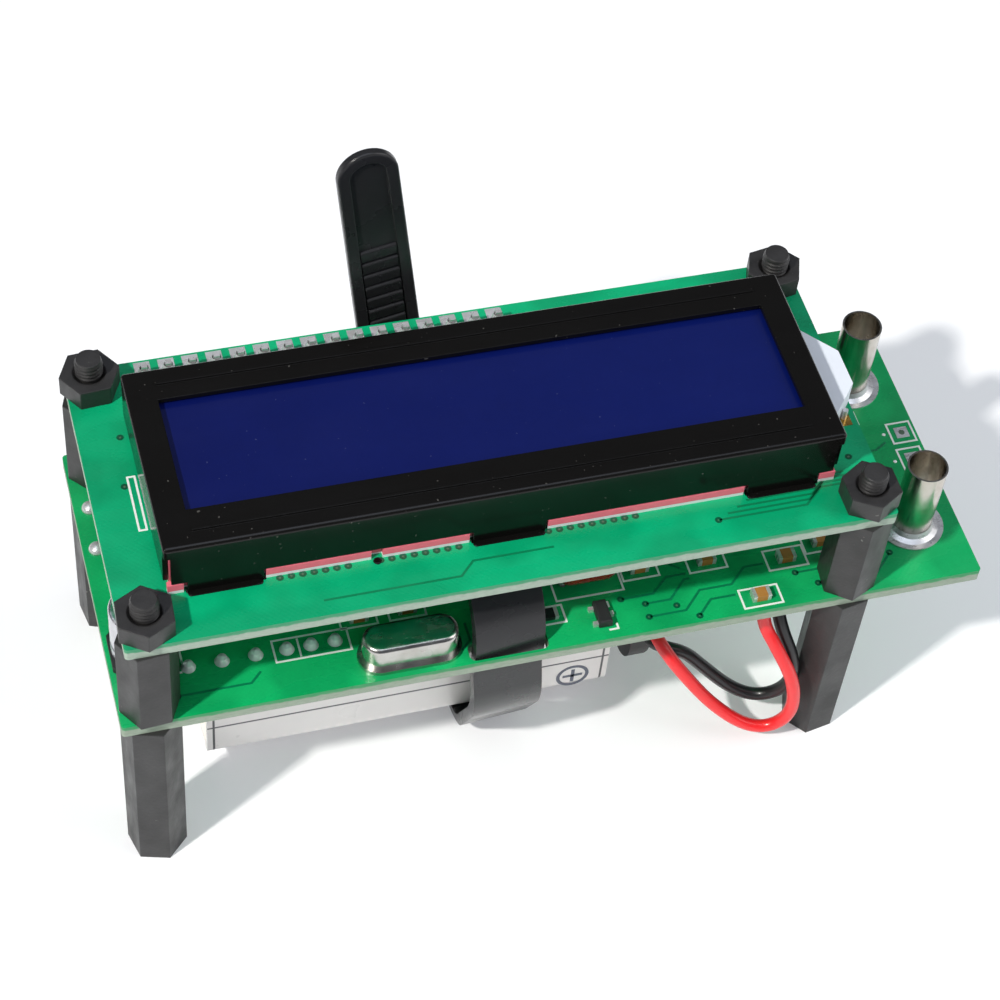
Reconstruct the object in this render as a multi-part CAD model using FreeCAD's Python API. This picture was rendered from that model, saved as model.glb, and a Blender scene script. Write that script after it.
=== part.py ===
import FreeCAD, Part
import math
import os

from FreeCAD import Vector

# Component tester: a two-line display stacked on a longer main board, on four legs, with a nine-volt
# battery strapped underneath. Millimetres, +Z up. The origin is the centre of the leg pattern on the table.

# Stack of boards, spacers and legs
LEG_LENGTH = 24.0
SPACER_LENGTH = 12.0
BOARD_THICKNESS = 1.6
HEX_FLATS = 5.5
HOLE_PITCH_X = 75.0
HOLE_PITCH_Y = 31.0
BOARD_HOLE_RADIUS = 1.6
STUD_RADIUS = 1.25
STUD_LENGTH = 6.0
THREAD_CLEARANCE = 0.05
TAPPED_HOLE_RADIUS = 1.25
TAPPED_HOLE_DEPTH = 8.0
NUT_HEIGHT = 2.4
NUT_COUNTERSINK = 0.45
LEG_TURNS_DEG = {"front_left": -15.5, "front_right": 10.0, "back_left": -20.0, "back_right": 6.0}
SPACER_TURNS_DEG = {"front_left": 4.0, "front_right": 24.0, "back_left": 12.0, "back_right": -8.0}
NUT_TURNS_DEG = {"front_left": 27.0, "front_right": 30.0, "back_left": 4.0, "back_right": 10.0}

# Boards
DISPLAY_LENGTH = 80.0
DISPLAY_DEPTH = 36.0
MAIN_LEFT = -40.8
MAIN_LENGTH = 93.2
MAIN_FRONT = -17.8
MAIN_DEPTH = 35.9
BOARD_CORNER = 0.4

# Display bezel, a folded sheet-metal cap with twist tabs
BEZEL_END_GAP = 0.6
BEZEL_DEPTH = 23.0
BEZEL_HEIGHT = 7.0
BEZEL_SHEET = 0.5
BEZEL_CENTRE_X = 0.1
BEZEL_CENTRE_Y = -0.8
BEZEL_EDGE_ROUND = 0.4
SKIRT_LIFT = 1.5
CORNER_RELIEF = 0.7
CORNER_RELIEF_TOP = 1.4
WINDOW_BORDER_X = 3.1
WINDOW_BORDER_Y = 4.4
WINDOW_SHIFT_Y = 0.2
BEAD_END_INSET = 3.2
BEAD_WIDTH = 0.4
BEAD_HEIGHT = 0.2
BEAD_INSET = 2.1
TAB_CENTRES_X = (-29.0, -0.1, 29.0)
TAB_WIDTH = 7.6
TAB_BELOW_BOARD = 1.2
TAB_SLOT_CLEARANCE = 0.2

# Glass cell, contact strips and backlight, stacked up from the display board
INSULATOR_THICKNESS = 0.2
STRIP_WIDTH = 1.8
STRIP_CLEARANCE = 0.1
BACKLIGHT_THICKNESS = 3.3
BACKLIGHT_DEPTH = 17.6
DIFFUSER_THICKNESS = 0.3
FILM_THICKNESS = 0.2
GLASS_THICKNESS = 1.1
GLASS_LENGTH = 68.0
REAR_GLASS_DEPTH = 17.4
FILM_LENGTH = 66.0
FILM_DEPTH = 16.4
LAMP_REACH = 4.6
LAMP_ROOT_DEPTH = 15.4
LAMP_TIP_DEPTH = 4.6
LAMP_CENTRE_Y = -0.6
LAMP_OPENING_CLEARANCE = 0.4
LAMP_PIN_RADIUS = 0.3
LAMP_PIN_OFFSET_Y = 4.1
LAMP_PIN_INSET = 1.1
LAMP_PIN_RISE = 1.3
LAMP_PIN_BELOW = 0.9

# Controller drops and chip parts under the display board
DROP_RADIUS = 7.0
DROP_HEIGHT = 1.5
DROP_CENTRES_X = (-21.0, 15.0)
DROP_CENTRE_Y = 1.0

# Header row between the boards
HEADER_COUNT = 16
HEADER_PITCH = 2.54
HEADER_FIRST_X = -31.8
HEADER_Y = 15.6
HEADER_STRIP_HEIGHT = 2.5
HEADER_WIDTH = 2.5
SOCKET_HEIGHT = 8.5
PIN_THICKNESS = 0.64
PIN_HOLE_RADIUS = 0.5
PIN_ABOVE_BOARD = 2.0
PIN_IN_SOCKET = 6.0
SOCKET_HOLE = 0.9
TAIL_BELOW_BOARD = 0.6
TAIL_SOLDER_HEIGHT = 0.45
SOLDER_WIDTH = 1.8
SOLDER_HEIGHT = 1.6
SOLDER_GAP = 0.02

# Test terminals, plated tubes for four-millimetre plugs
TERMINAL_KEEP_OFF = 4.1
TERMINAL_PITCH = 20.32
TERMINAL_BORE_RADIUS = 2.0
TERMINAL_WALL = 0.2
TERMINAL_HEIGHT = 10.0
TERMINAL_BELOW_BOARD = 1.0
TERMINAL_HOLE_CLEARANCE = 0.1
PAD_RADIUS = 3.65
PAD_THICKNESS = 0.15
TERMINAL_FILLET = 0.8

# Quartz crystal, an upright can on a flange
CRYSTAL_X = -10.4
CRYSTAL_Y = -14.9
CRYSTAL_CAN_LENGTH = 10.2
CRYSTAL_CAN_DEPTH = 3.8
CRYSTAL_HEIGHT = 3.6
CRYSTAL_FLANGE = 0.42
CRYSTAL_FLANGE_HEIGHT = 0.5
CRYSTAL_ROUND = 0.6

# Dipped film capacitor
FILM_CAP_X = 10.0
FILM_CAP_Y = -9.9
FILM_CAP_LENGTH = 6.6
FILM_CAP_DEPTH = 3.2
FILM_CAP_HEIGHT = 6.2
FILM_CAP_STANDOFF = 0.7
FILM_CAP_LEAD_PITCH = 5.0
LEAD_RADIUS = 0.3
LEAD_HOLE_CLEARANCE = 0.15
LEAD_BELOW_BOARD = 0.8

# Surface-mount electrolytic capacitor
ELECTROLYTIC_X = -37.1
ELECTROLYTIC_Y = -8.9
ELECTROLYTIC_RADIUS = 3.15
ELECTROLYTIC_HEIGHT = 7.7
ELECTROLYTIC_BASE = 6.6
ELECTROLYTIC_BASE_HEIGHT = 0.9
ELECTROLYTIC_CHAMFER = 1.3
ELECTROLYTIC_GROOVE = 0.3
ELECTROLYTIC_GROOVE_HEIGHT = 1.6

# Microcontroller, a square chip with gull-wing leads
CHIP_X = 24.0
CHIP_Y = 3.5
CHIP_SIZE = 7.0
CHIP_HEIGHT = 1.0
CHIP_STANDOFF = 0.15
CHIP_LEADS_PER_SIDE = 8
CHIP_LEAD_PITCH = 0.8
CHIP_LEAD_WIDTH = 0.35
CHIP_LEAD_THICKNESS = 0.15
CHIP_LEAD_REACH = 1.0

# Voltage regulator
REGULATOR_X = -20.0
REGULATOR_Y = 3.0
REGULATOR_LENGTH = 4.5
REGULATOR_DEPTH = 2.5
REGULATOR_HEIGHT = 1.5
REGULATOR_LEAD_PITCH = 1.5
REGULATOR_LEAD_WIDTH = 0.5

# Three-lead switching diode
DIODE_X = 10.4
DIODE_Y = -14.9
DIODE_WIDTH = 1.4
DIODE_LENGTH = 2.9
DIODE_HEIGHT = 1.0
DIODE_LEAD_WIDTH = 0.45
DIODE_LEAD_REACH = 0.55
DIODE_LEAD_PITCH = 1.9
SMALL_LEAD_THICKNESS = 0.15

# Chip resistors and capacitors: centres on the main board
CHIP_PART_LENGTH = 2.0
CHIP_PART_DEPTH = 1.25
RESISTOR_HEIGHT = 0.55
CAPACITOR_HEIGHT = 0.9
END_CAP_LENGTH = 0.4
RESISTOR_CENTRES = ((4.9, -13.6), (31.0, 10.0), (35.0, 10.0))
CAPACITOR_CENTRES = ((16.0, -9.7), (23.4, -10.2), (27.7, -16.0), (32.0, -11.7), (36.4, -10.4), (-14.6, -9.6),
                     (-9.4, -9.6))
DISPLAY_CHIP_CENTRES = ((-6.0, -8.0), (-2.5, -8.0), (1.0, -8.0), (4.5, -8.0), (26.0, -8.0))

# Through-hole solder joints at the front left, and what they hold under the board
SWITCH_X = -29.4
FRONT_JOINT_Y = -11.9
SWITCH_PIN_PITCH = 3.5
LINK_X = -20.1
LINK_PIN_PITCH = 2.54
JOINT_RADIUS = 0.8
JOINT_HEIGHT = 0.55
SWITCH_LENGTH = 9.6
SWITCH_DEPTH = 4.0
SWITCH_HEIGHT = 4.2
SWITCH_WALL = 0.6
SWITCH_TRAVEL = 2.8
SLIDER_LENGTH = 2.6
SLIDER_DEPTH = 1.6
SLIDER_DROP = 3.0
SLIDER_FOOT_LENGTH = 4.0
SLIDER_FOOT_DEPTH = 2.2
SLIDER_FOOT_HEIGHT = 1.4
SLIDER_GAP = 0.3
SWITCH_PIN_WIDTH = 0.7
SWITCH_PIN_THICKNESS = 0.4
PIN_THROUGH = 0.4
LINK_BODY_HEIGHT = 2.5
LINK_PIN_DROP = 6.0

# Nine-volt battery, lying flat under the main board, and its snap cap
BATTERY_LEFT = -30.6
BATTERY_FRONT = -9.0
BATTERY_LENGTH = 45.4
BATTERY_WIDTH = 26.5
BATTERY_THICKNESS = 17.5
BATTERY_EDGE_ROUND = 1.6
BATTERY_BOARD_GAP = 3.0
BATTERY_RIM = 0.8
BATTERY_RIM_DEPTH = 0.5
BATTERY_STUD_PITCH = 12.7
POSITIVE_STUD_RADIUS = 2.8
NEGATIVE_STUD_RADIUS = 4.2
STUD_WALL = 0.5
STUD_HEIGHT = 2.4
STUD_GAP = 0.1
SNAP_LENGTH = 26.0
SNAP_HEIGHT = 15.0
SNAP_THICKNESS = 2.6
SNAP_CORNER = 4.0
SNAP_EDGE_ROUND = 0.6

# Battery strap: a wide releasable band with a head and a ribbed tail
STRAP_WIDTH = 7.6
STRAP_THICKNESS = 1.3
STRAP_X = -0.2
STRAP_SKEW_DEG = 4.1
STRAP_FRONT_SLOT_Y = -16.4
STRAP_MID_SLOT_Y = 0.6
STRAP_ARCH_HEIGHT = 8.6
STRAP_CLEARANCE = 0.1
STRAP_ROOT_DEPTH = 0.5
STRAP_JOIN_DROP = 2.0
STRAP_EASE_HEIGHT = 11.5
STRAP_EASE_BEND = 14.0
STRAP_FRONT_CORNER = 4.0
STRAP_STAND_OFF = 0.9
STRAP_DRIFT_DEG = 5.2
STRAP_BEND = 1.5
STRAP_CORNER = 3.2
STRAP_EASY_BEND = 10.0
SLOT_CLEARANCE = 0.45
SLOT_CORNER = 0.7
HEAD_WIDTH = 11.0
HEAD_FRONT_GAP = 0.9
HEAD_DEPTH = 6.3
HEAD_HEIGHT = 6.4
HEAD_BELOW_BAND = 1.8
HEAD_ROUND = 0.8
TAIL_FROM_HEAD_FRONT = 3.5
TAIL_LENGTH = 34.2
TAIL_LEAN_DEG = 7.6
TAIL_ROOT_WIDTH = 7.2
TAIL_END_WIDTH = 6.6
TAIL_THICKNESS = 1.1
TAIL_EDGE_ROUND = 0.3
TAIL_RAIL_WIDTH = 1.3
TAIL_CHANNEL_DEPTH = 0.35
TAIL_RIBS = 10
TAIL_RIB_PITCH = 1.9
TAIL_RIB_THICKNESS = 1.55
TAIL_RIB_SLOPE = 0.15
TAIL_FIRST_RIB = 1.2
PAWL_WIDTH = 5.0
PAWL_THICKNESS = 0.9
PAWL_TAB_RISE = 2.8
PAWL_GAP = 0.4
PAWL_SWING_GAP = 0.8
PAWL_BARREL_RADIUS = 0.55
PAWL_TOOTH = 0.3
PAWL_TAIL_GAP = 0.3

# Battery leads: each leaves the front of the snap cap, hangs in a loop and rises to the main board
LEAD_WIRE_RADIUS = 0.75
RED_RISE = 2.95
RED_FIRST_RUN = 2.25
RED_LOOP = ((19.3, -13.1, 14.2), (21.4, -14.6, 11.1), (24.8, -16.0, 6.3), (28.4, -17.3, 3.0),
            (31.1, -18.0, 2.2),
            (33.2, -18.5, 3.9), (33.7, -18.7, 7.2), (32.8, -18.5, 12.0), (30.8, -17.2, 16.4))
RED_END = (28.9, -14.9)
RED_LAST_RUN = 4.0
BLACK_RISE = 0.35
BLACK_FIRST_RUN = 1.85
BLACK_LOOP = ((20.1, -11.9, 12.7), (22.4, -12.1, 11.5), (24.7, -12.9, 8.9), (28.0, -14.0, 5.4),
              (30.9, -14.9, 4.2),
              (33.2, -15.9, 6.0), (33.9, -16.6, 9.6), (33.2, -16.6, 13.6), (31.6, -15.2, 17.8))
BLACK_END = (31.2, -13.6)
BLACK_LAST_RUN = 3.4

# Heights and places worked out from the values above
MAIN_BOTTOM = LEG_LENGTH
MAIN_TOP = MAIN_BOTTOM + BOARD_THICKNESS
DISPLAY_BOTTOM = MAIN_TOP + SPACER_LENGTH
DISPLAY_TOP = DISPLAY_BOTTOM + BOARD_THICKNESS
MAIN_RIGHT = MAIN_LEFT + MAIN_LENGTH
MAIN_BACK = MAIN_FRONT + MAIN_DEPTH
BEZEL_TOP = DISPLAY_TOP + BEZEL_HEIGHT
BEZEL_FRONT = BEZEL_CENTRE_Y - BEZEL_DEPTH / 2
BEZEL_BACK = BEZEL_CENTRE_Y + BEZEL_DEPTH / 2
BEZEL_LENGTH = GLASS_LENGTH + 2 * (BEZEL_END_GAP + BEZEL_SHEET)
BEZEL_LEFT = BEZEL_CENTRE_X - BEZEL_LENGTH / 2
BEZEL_RIGHT = BEZEL_CENTRE_X + BEZEL_LENGTH / 2
DIFFUSER_BOTTOM = DISPLAY_TOP + BACKLIGHT_THICKNESS
REAR_FILM_BOTTOM = DIFFUSER_BOTTOM + DIFFUSER_THICKNESS
REAR_GLASS_BOTTOM = REAR_FILM_BOTTOM + FILM_THICKNESS
FRONT_GLASS_BOTTOM = REAR_GLASS_BOTTOM + GLASS_THICKNESS
FRONT_FILM_BOTTOM = FRONT_GLASS_BOTTOM + GLASS_THICKNESS
STRIP_OUTER = BEZEL_DEPTH / 2 - BEZEL_SHEET - STRIP_CLEARANCE
HEADER_LENGTH = HEADER_COUNT * HEADER_PITCH
HEADER_CENTRE_X = HEADER_FIRST_X + (HEADER_COUNT - 1) * HEADER_PITCH / 2
HEADER_STRIP_BOTTOM = DISPLAY_BOTTOM - HEADER_STRIP_HEIGHT
TERMINAL_RADIUS = TERMINAL_BORE_RADIUS + TERMINAL_WALL
BATTERY_TOP = MAIN_BOTTOM - BATTERY_BOARD_GAP
BATTERY_BOTTOM = BATTERY_TOP - BATTERY_THICKNESS
BATTERY_BACK = BATTERY_FRONT + BATTERY_WIDTH
BATTERY_RIGHT = BATTERY_LEFT + BATTERY_LENGTH
BATTERY_CENTRE_Y = (BATTERY_FRONT + BATTERY_BACK) / 2
BATTERY_CENTRE_Z = (BATTERY_BOTTOM + BATTERY_TOP) / 2
SNAP_LEFT = BATTERY_RIGHT + STUD_HEIGHT + STUD_GAP
BAND_LEVEL = (BATTERY_TOP + MAIN_BOTTOM) / 2
STRAP_JOIN_LEVEL = MAIN_BOTTOM - STRAP_JOIN_DROP
HEAD_FRONT = MAIN_BACK + HEAD_FRONT_GAP
HEAD_BOTTOM = BAND_LEVEL - HEAD_BELOW_BAND
HEAD_TOP = HEAD_BOTTOM + HEAD_HEIGHT
TAIL_Y = HEAD_FRONT + TAIL_FROM_HEAD_FRONT
CORNERS = {"front_left": (-1, -1), "front_right": (1, -1), "back_left": (-1, 1), "back_right": (1, 1)}


def box(x0, x1, y0, y1, z0, z1):
    """A block between two corners."""
    return Part.makeBox(x1 - x0, y1 - y0, z1 - z0, Vector(x0, y0, z0))


def centred_box(x, y, length, depth, z0, z1):
    """A block centred on x and y, standing from z0 to z1."""
    return box(x - length / 2, x + length / 2, y - depth / 2, y + depth / 2, z0, z1)


def cylinder(x, y, z0, z1, radius):
    """An upright round bar."""
    return Part.makeCylinder(radius, z1 - z0, Vector(x, y, z0))


def hex_bar(x, y, z0, z1, flats, turn_deg):
    """An upright hexagon bar, measured across its flats and turned about its axis."""
    corner_radius = flats / math.sqrt(3)
    angles = [math.radians(turn_deg + 60 * side) for side in range(7)]
    outline = [Vector(x + corner_radius * math.cos(a), y + corner_radius * math.sin(a), z0) for a in angles]
    return Part.Face(Part.makePolygon(outline)).extrude(Vector(0, 0, z1 - z0))


def edges_along(shape, axis):
    """The straight edges of a shape that run along one axis (0, 1 or 2)."""
    found = []
    for edge in shape.Edges:
        if len(edge.Vertexes) == 2 and isinstance(edge.Curve, Part.Line):
            step = edge.Vertexes[1].Point - edge.Vertexes[0].Point
            if abs(step[axis]) > 0.999 * edge.Length:
                found.append(edge)
    return found


def edges_at_height(shape, z):
    """The edges of a shape that lie flat at one height."""
    return [e for e in shape.Edges if abs(e.BoundBox.ZMin - z) < 1e-4 and abs(e.BoundBox.ZMax - z) < 1e-4]


def rounded_block(x0, x1, y0, y1, z0, z1, corner, axis=2):
    """A block whose four edges along one axis are rounded."""
    block = box(x0, x1, y0, y1, z0, z1)
    return block.makeFillet(corner, edges_along(block, axis))


def obround(x, y, length, depth, z0, z1):
    """An upright bar with flat sides and two half-round ends."""
    end = depth / 2
    half = length / 2 - end
    solid = centred_box(x, y, 2 * half, depth, z0, z1)
    for side in (-1, 1):
        solid = solid.fuse(cylinder(x + side * half, y, z0, z1, end))
    return solid.removeSplitter()


def ring(x, y, z0, z1, outer, inner):
    """An upright tube."""
    return cylinder(x, y, z0, z1, outer).cut(cylinder(x, y, z0, z1, inner))


def revolved(x, y, profile):
    """A solid turned about an upright axis from (radius, height) points."""
    outline = [Vector(x + radius, y, height) for radius, height in profile]
    face = Part.Face(Part.makePolygon(outline + outline[:1]))
    return face.revolve(Vector(x, y, 0), Vector(0, 0, 1), 360)


def corner_point(corner):
    """Where a leg, spacer or nut stands."""
    side_x, side_y = CORNERS[corner]
    return side_x * HOLE_PITCH_X / 2, side_y * HOLE_PITCH_Y / 2


def header_xs():
    """The places of the header pins along the back edge."""
    return [HEADER_FIRST_X + HEADER_PITCH * pin for pin in range(HEADER_COUNT)]


def row_of_three(centre, pitch):
    """Three places in a line."""
    return [centre + pitch * step for step in (-1, 0, 1)]


def strap_x(y):
    """The middle of the skewed strap where it crosses a given y."""
    return STRAP_X - math.tan(math.radians(STRAP_SKEW_DEG)) * (y - STRAP_FRONT_SLOT_Y)


def terminal_places():
    """The two test terminals by name."""
    x = (HOLE_PITCH_X / 2 + TERMINAL_KEEP_OFF + MAIN_RIGHT) / 2
    return {"front": (x, -TERMINAL_PITCH / 2), "back": (x, TERMINAL_PITCH / 2)}


def rounded_path(points, radii):
    """Edges along straight runs joined by tangent arcs, one radius for each inner point."""
    edges = []
    start = points[0]
    for before, point, after, radius in zip(points, points[1:], points[2:], radii):
        run_in = (point - before).normalize()
        run_out = (after - point).normalize()
        half_turn = run_in.getAngle(run_out) / 2
        reach = radius * math.tan(half_turn)
        arc_start = point - run_in * reach
        arc_end = point + run_out * reach
        inward = (run_out - run_in).normalize()
        arc_middle = point + inward * (radius / math.cos(half_turn) - radius)
        edges.append(Part.LineSegment(start, arc_start).toShape())
        edges.append(Part.Arc(arc_start, arc_middle, arc_end).toShape())
        start = arc_end
    edges.append(Part.LineSegment(start, points[-1]).toShape())
    return edges


def offset_side(points, radii, shift):
    """A side of a band in the YZ plane: its centre line moved to the left by shift, arcs kept concentric."""
    runs = [(after - before).normalize() for before, after in zip(points, points[1:])]
    lefts = [Vector(0, -run.z, run.y) for run in runs]
    moved = [points[0] + lefts[0] * shift]
    moved_radii = []
    for point, left_in, left_out, run_in, run_out, radius in zip(
            points[1:-1], lefts, lefts[1:], runs, runs[1:], radii):
        moved.append(point + (left_in + left_out) * (shift / (1 + left_in.dot(left_out))))
        turns_left = run_in.y * run_out.z - run_in.z * run_out.y > 0
        moved_radii.append(radius - shift if turns_left else radius + shift)
    moved.append(points[-1] + lefts[-1] * shift)
    return moved, moved_radii


def band(points, radii, thickness, width):
    """A flat band that follows a path in the YZ plane, centred on x = 0."""
    sides = []
    for shift in (thickness / 2, -thickness / 2):
        sides.append(rounded_path(*offset_side(points, radii, shift)))
    left, right = sides
    first_cap = Part.LineSegment(right[0].Vertexes[0].Point, left[0].Vertexes[0].Point).toShape()
    last_cap = Part.LineSegment(left[-1].Vertexes[-1].Point, right[-1].Vertexes[-1].Point).toShape()
    outline = Part.Wire(Part.__sortEdges__(left + [last_cap] + right + [first_cap]))
    solid = Part.Face(outline).extrude(Vector(width, 0, 0))
    solid.translate(Vector(-width / 2, 0, 0))
    return solid


def cord_tube(name, route, radius):
    """A cord's plain tube: straight runs joined by arcs as large as the runs allow."""
    points = [Vector(*point) for point in route]
    radii = []
    for before, point, after in zip(points, points[1:], points[2:]):
        run_in = point - before
        run_out = after - point
        shorter = min(run_in.Length, run_out.Length)
        radii.append(0.45 * shorter / math.tan(run_in.getAngle(run_out) / 2))
    path = Part.Wire(rounded_path(points, radii))
    start_circle = Part.makeCircle(radius, points[0], points[1] - points[0])
    tube = path.makePipeShell([Part.Wire(start_circle)], True, False)
    expected = math.pi * radius ** 2 * path.Length
    print(name, "length", round(path.Length, 2), "volume ratio", round(tube.Volume / expected, 4),
          "radii", [round(value, 1) for value in radii])
    return tube


def lead_route(rise, first_run, loop, end, last_run):
    """A battery lead's points, from the front face of the snap cap to the underside of the main board."""
    x = SNAP_LEFT + SNAP_THICKNESS / 2
    front = BATTERY_CENTRE_Y - SNAP_LENGTH / 2
    start = (x, front, BATTERY_CENTRE_Z + rise)
    after_start = (x, front - first_run, BATTERY_CENTRE_Z + rise)
    return (start, after_start) + loop + ((*end, MAIN_BOTTOM - last_run), (*end, MAIN_BOTTOM))


def red_lead():
    """The lead on the battery's positive side."""
    route = lead_route(RED_RISE, RED_FIRST_RUN, RED_LOOP, RED_END, RED_LAST_RUN)
    return cord_tube("red_lead", route, LEAD_WIRE_RADIUS)


def black_lead():
    """The lead on the battery's negative side."""
    route = lead_route(BLACK_RISE, BLACK_FIRST_RUN, BLACK_LOOP, BLACK_END, BLACK_LAST_RUN)
    return cord_tube("black_lead", route, LEAD_WIRE_RADIUS)


def display_board():
    """The green board that carries the display, with its fixing holes, tab slots and pin holes."""
    board = rounded_block(-DISPLAY_LENGTH / 2, DISPLAY_LENGTH / 2, -DISPLAY_DEPTH / 2, DISPLAY_DEPTH / 2,
                          DISPLAY_BOTTOM, DISPLAY_TOP, BOARD_CORNER)
    cuts = [cylinder(*corner_point(c), DISPLAY_BOTTOM, DISPLAY_TOP, BOARD_HOLE_RADIUS) for c in CORNERS]
    cuts += [cylinder(x, HEADER_Y, DISPLAY_BOTTOM, DISPLAY_TOP, PIN_HOLE_RADIUS) for x in header_xs()]
    cuts += [cylinder(x, y, DISPLAY_BOTTOM, DISPLAY_TOP, LAMP_PIN_RADIUS + STRIP_CLEARANCE)
             for x, y in lamp_pin_places()]
    for tab in bezel_tabs(TAB_SLOT_CLEARANCE):
        cuts.append(tab)
    return board.cut(cuts)


def main_board():
    """The longer green board underneath, with fixing holes, strap slots, terminal and lead holes."""
    board = rounded_block(MAIN_LEFT, MAIN_RIGHT, MAIN_FRONT, MAIN_BACK, MAIN_BOTTOM, MAIN_TOP, BOARD_CORNER)
    cuts = [cylinder(*corner_point(c), MAIN_BOTTOM, MAIN_TOP, BOARD_HOLE_RADIUS) for c in CORNERS]
    cuts += [cylinder(x, HEADER_Y, MAIN_BOTTOM, MAIN_TOP, PIN_HOLE_RADIUS) for x in header_xs()]
    cuts += [cylinder(x, y, MAIN_BOTTOM, MAIN_TOP, TERMINAL_RADIUS + TERMINAL_HOLE_CLEARANCE)
             for x, y in terminal_places().values()]
    cuts += [cylinder(x, FILM_CAP_Y, MAIN_BOTTOM, MAIN_TOP, LEAD_RADIUS + LEAD_HOLE_CLEARANCE)
             for x in film_lead_xs()]
    joints = row_of_three(SWITCH_X, SWITCH_PIN_PITCH) + row_of_three(LINK_X, LINK_PIN_PITCH)
    cuts += [cylinder(x, FRONT_JOINT_Y, MAIN_BOTTOM, MAIN_TOP, PIN_HOLE_RADIUS) for x in joints]
    slot_length = STRAP_WIDTH + 2 * SLOT_CLEARANCE
    slot_depth = STRAP_THICKNESS + 2 * SLOT_CLEARANCE
    for slot_y in (STRAP_FRONT_SLOT_Y, STRAP_MID_SLOT_Y):
        slot_x = strap_x(slot_y)
        cuts.append(rounded_block(slot_x - slot_length / 2, slot_x + slot_length / 2, slot_y - slot_depth / 2,
                                  slot_y + slot_depth / 2, MAIN_BOTTOM, MAIN_TOP, SLOT_CORNER))
    return board.cut(cuts)


def leg(corner):
    """A nylon hex leg: tapped at the foot, with a stud that goes up through the main board."""
    x, y = corner_point(corner)
    body = hex_bar(x, y, 0, LEG_LENGTH, HEX_FLATS, LEG_TURNS_DEG[corner])
    body = body.fuse(cylinder(x, y, LEG_LENGTH, LEG_LENGTH + STUD_LENGTH, STUD_RADIUS))
    return body.cut(cylinder(x, y, 0, TAPPED_HOLE_DEPTH, TAPPED_HOLE_RADIUS))


def spacer(corner):
    """A nylon hex spacer between the boards, with a stud that goes up through the display board."""
    x, y = corner_point(corner)
    body = hex_bar(x, y, MAIN_TOP, DISPLAY_BOTTOM, HEX_FLATS, SPACER_TURNS_DEG[corner])
    body = body.fuse(cylinder(x, y, DISPLAY_BOTTOM, DISPLAY_BOTTOM + STUD_LENGTH, STUD_RADIUS))
    socket_top = MAIN_TOP + STUD_LENGTH - BOARD_THICKNESS + SLIDER_GAP
    return body.cut(cylinder(x, y, MAIN_TOP, socket_top, STUD_RADIUS + THREAD_CLEARANCE))


def top_nuts():
    """The four nylon nuts that hold the display board."""
    nuts = []
    for corner in CORNERS:
        x, y = corner_point(corner)
        nut = hex_bar(x, y, DISPLAY_TOP, DISPLAY_TOP + NUT_HEIGHT, HEX_FLATS, NUT_TURNS_DEG[corner])
        hole_radius = STUD_RADIUS + THREAD_CLEARANCE
        nut_top = DISPLAY_TOP + NUT_HEIGHT
        countersink = Part.makeCone(hole_radius, hole_radius + NUT_COUNTERSINK, NUT_COUNTERSINK,
                                    Vector(x, y, nut_top - NUT_COUNTERSINK))
        nuts.append(nut.cut([cylinder(x, y, DISPLAY_TOP, nut_top, hole_radius), countersink]))
    return Part.makeCompound(nuts)


def bezel_tabs(clearance):
    """The twist tabs of the bezel, front and back, grown by a clearance for the slots in the board."""
    tabs = []
    for centre in TAB_CENTRES_X:
        for outer, inner in ((BEZEL_FRONT, BEZEL_FRONT + BEZEL_SHEET),
                             (BEZEL_BACK - BEZEL_SHEET, BEZEL_BACK)):
            x = BEZEL_CENTRE_X + centre
            tabs.append(box(x - TAB_WIDTH / 2 - clearance, x + TAB_WIDTH / 2 + clearance, outer - clearance,
                            inner + clearance, DISPLAY_BOTTOM - TAB_BELOW_BOARD, DISPLAY_TOP + SKIRT_LIFT))
    return tabs


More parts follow.
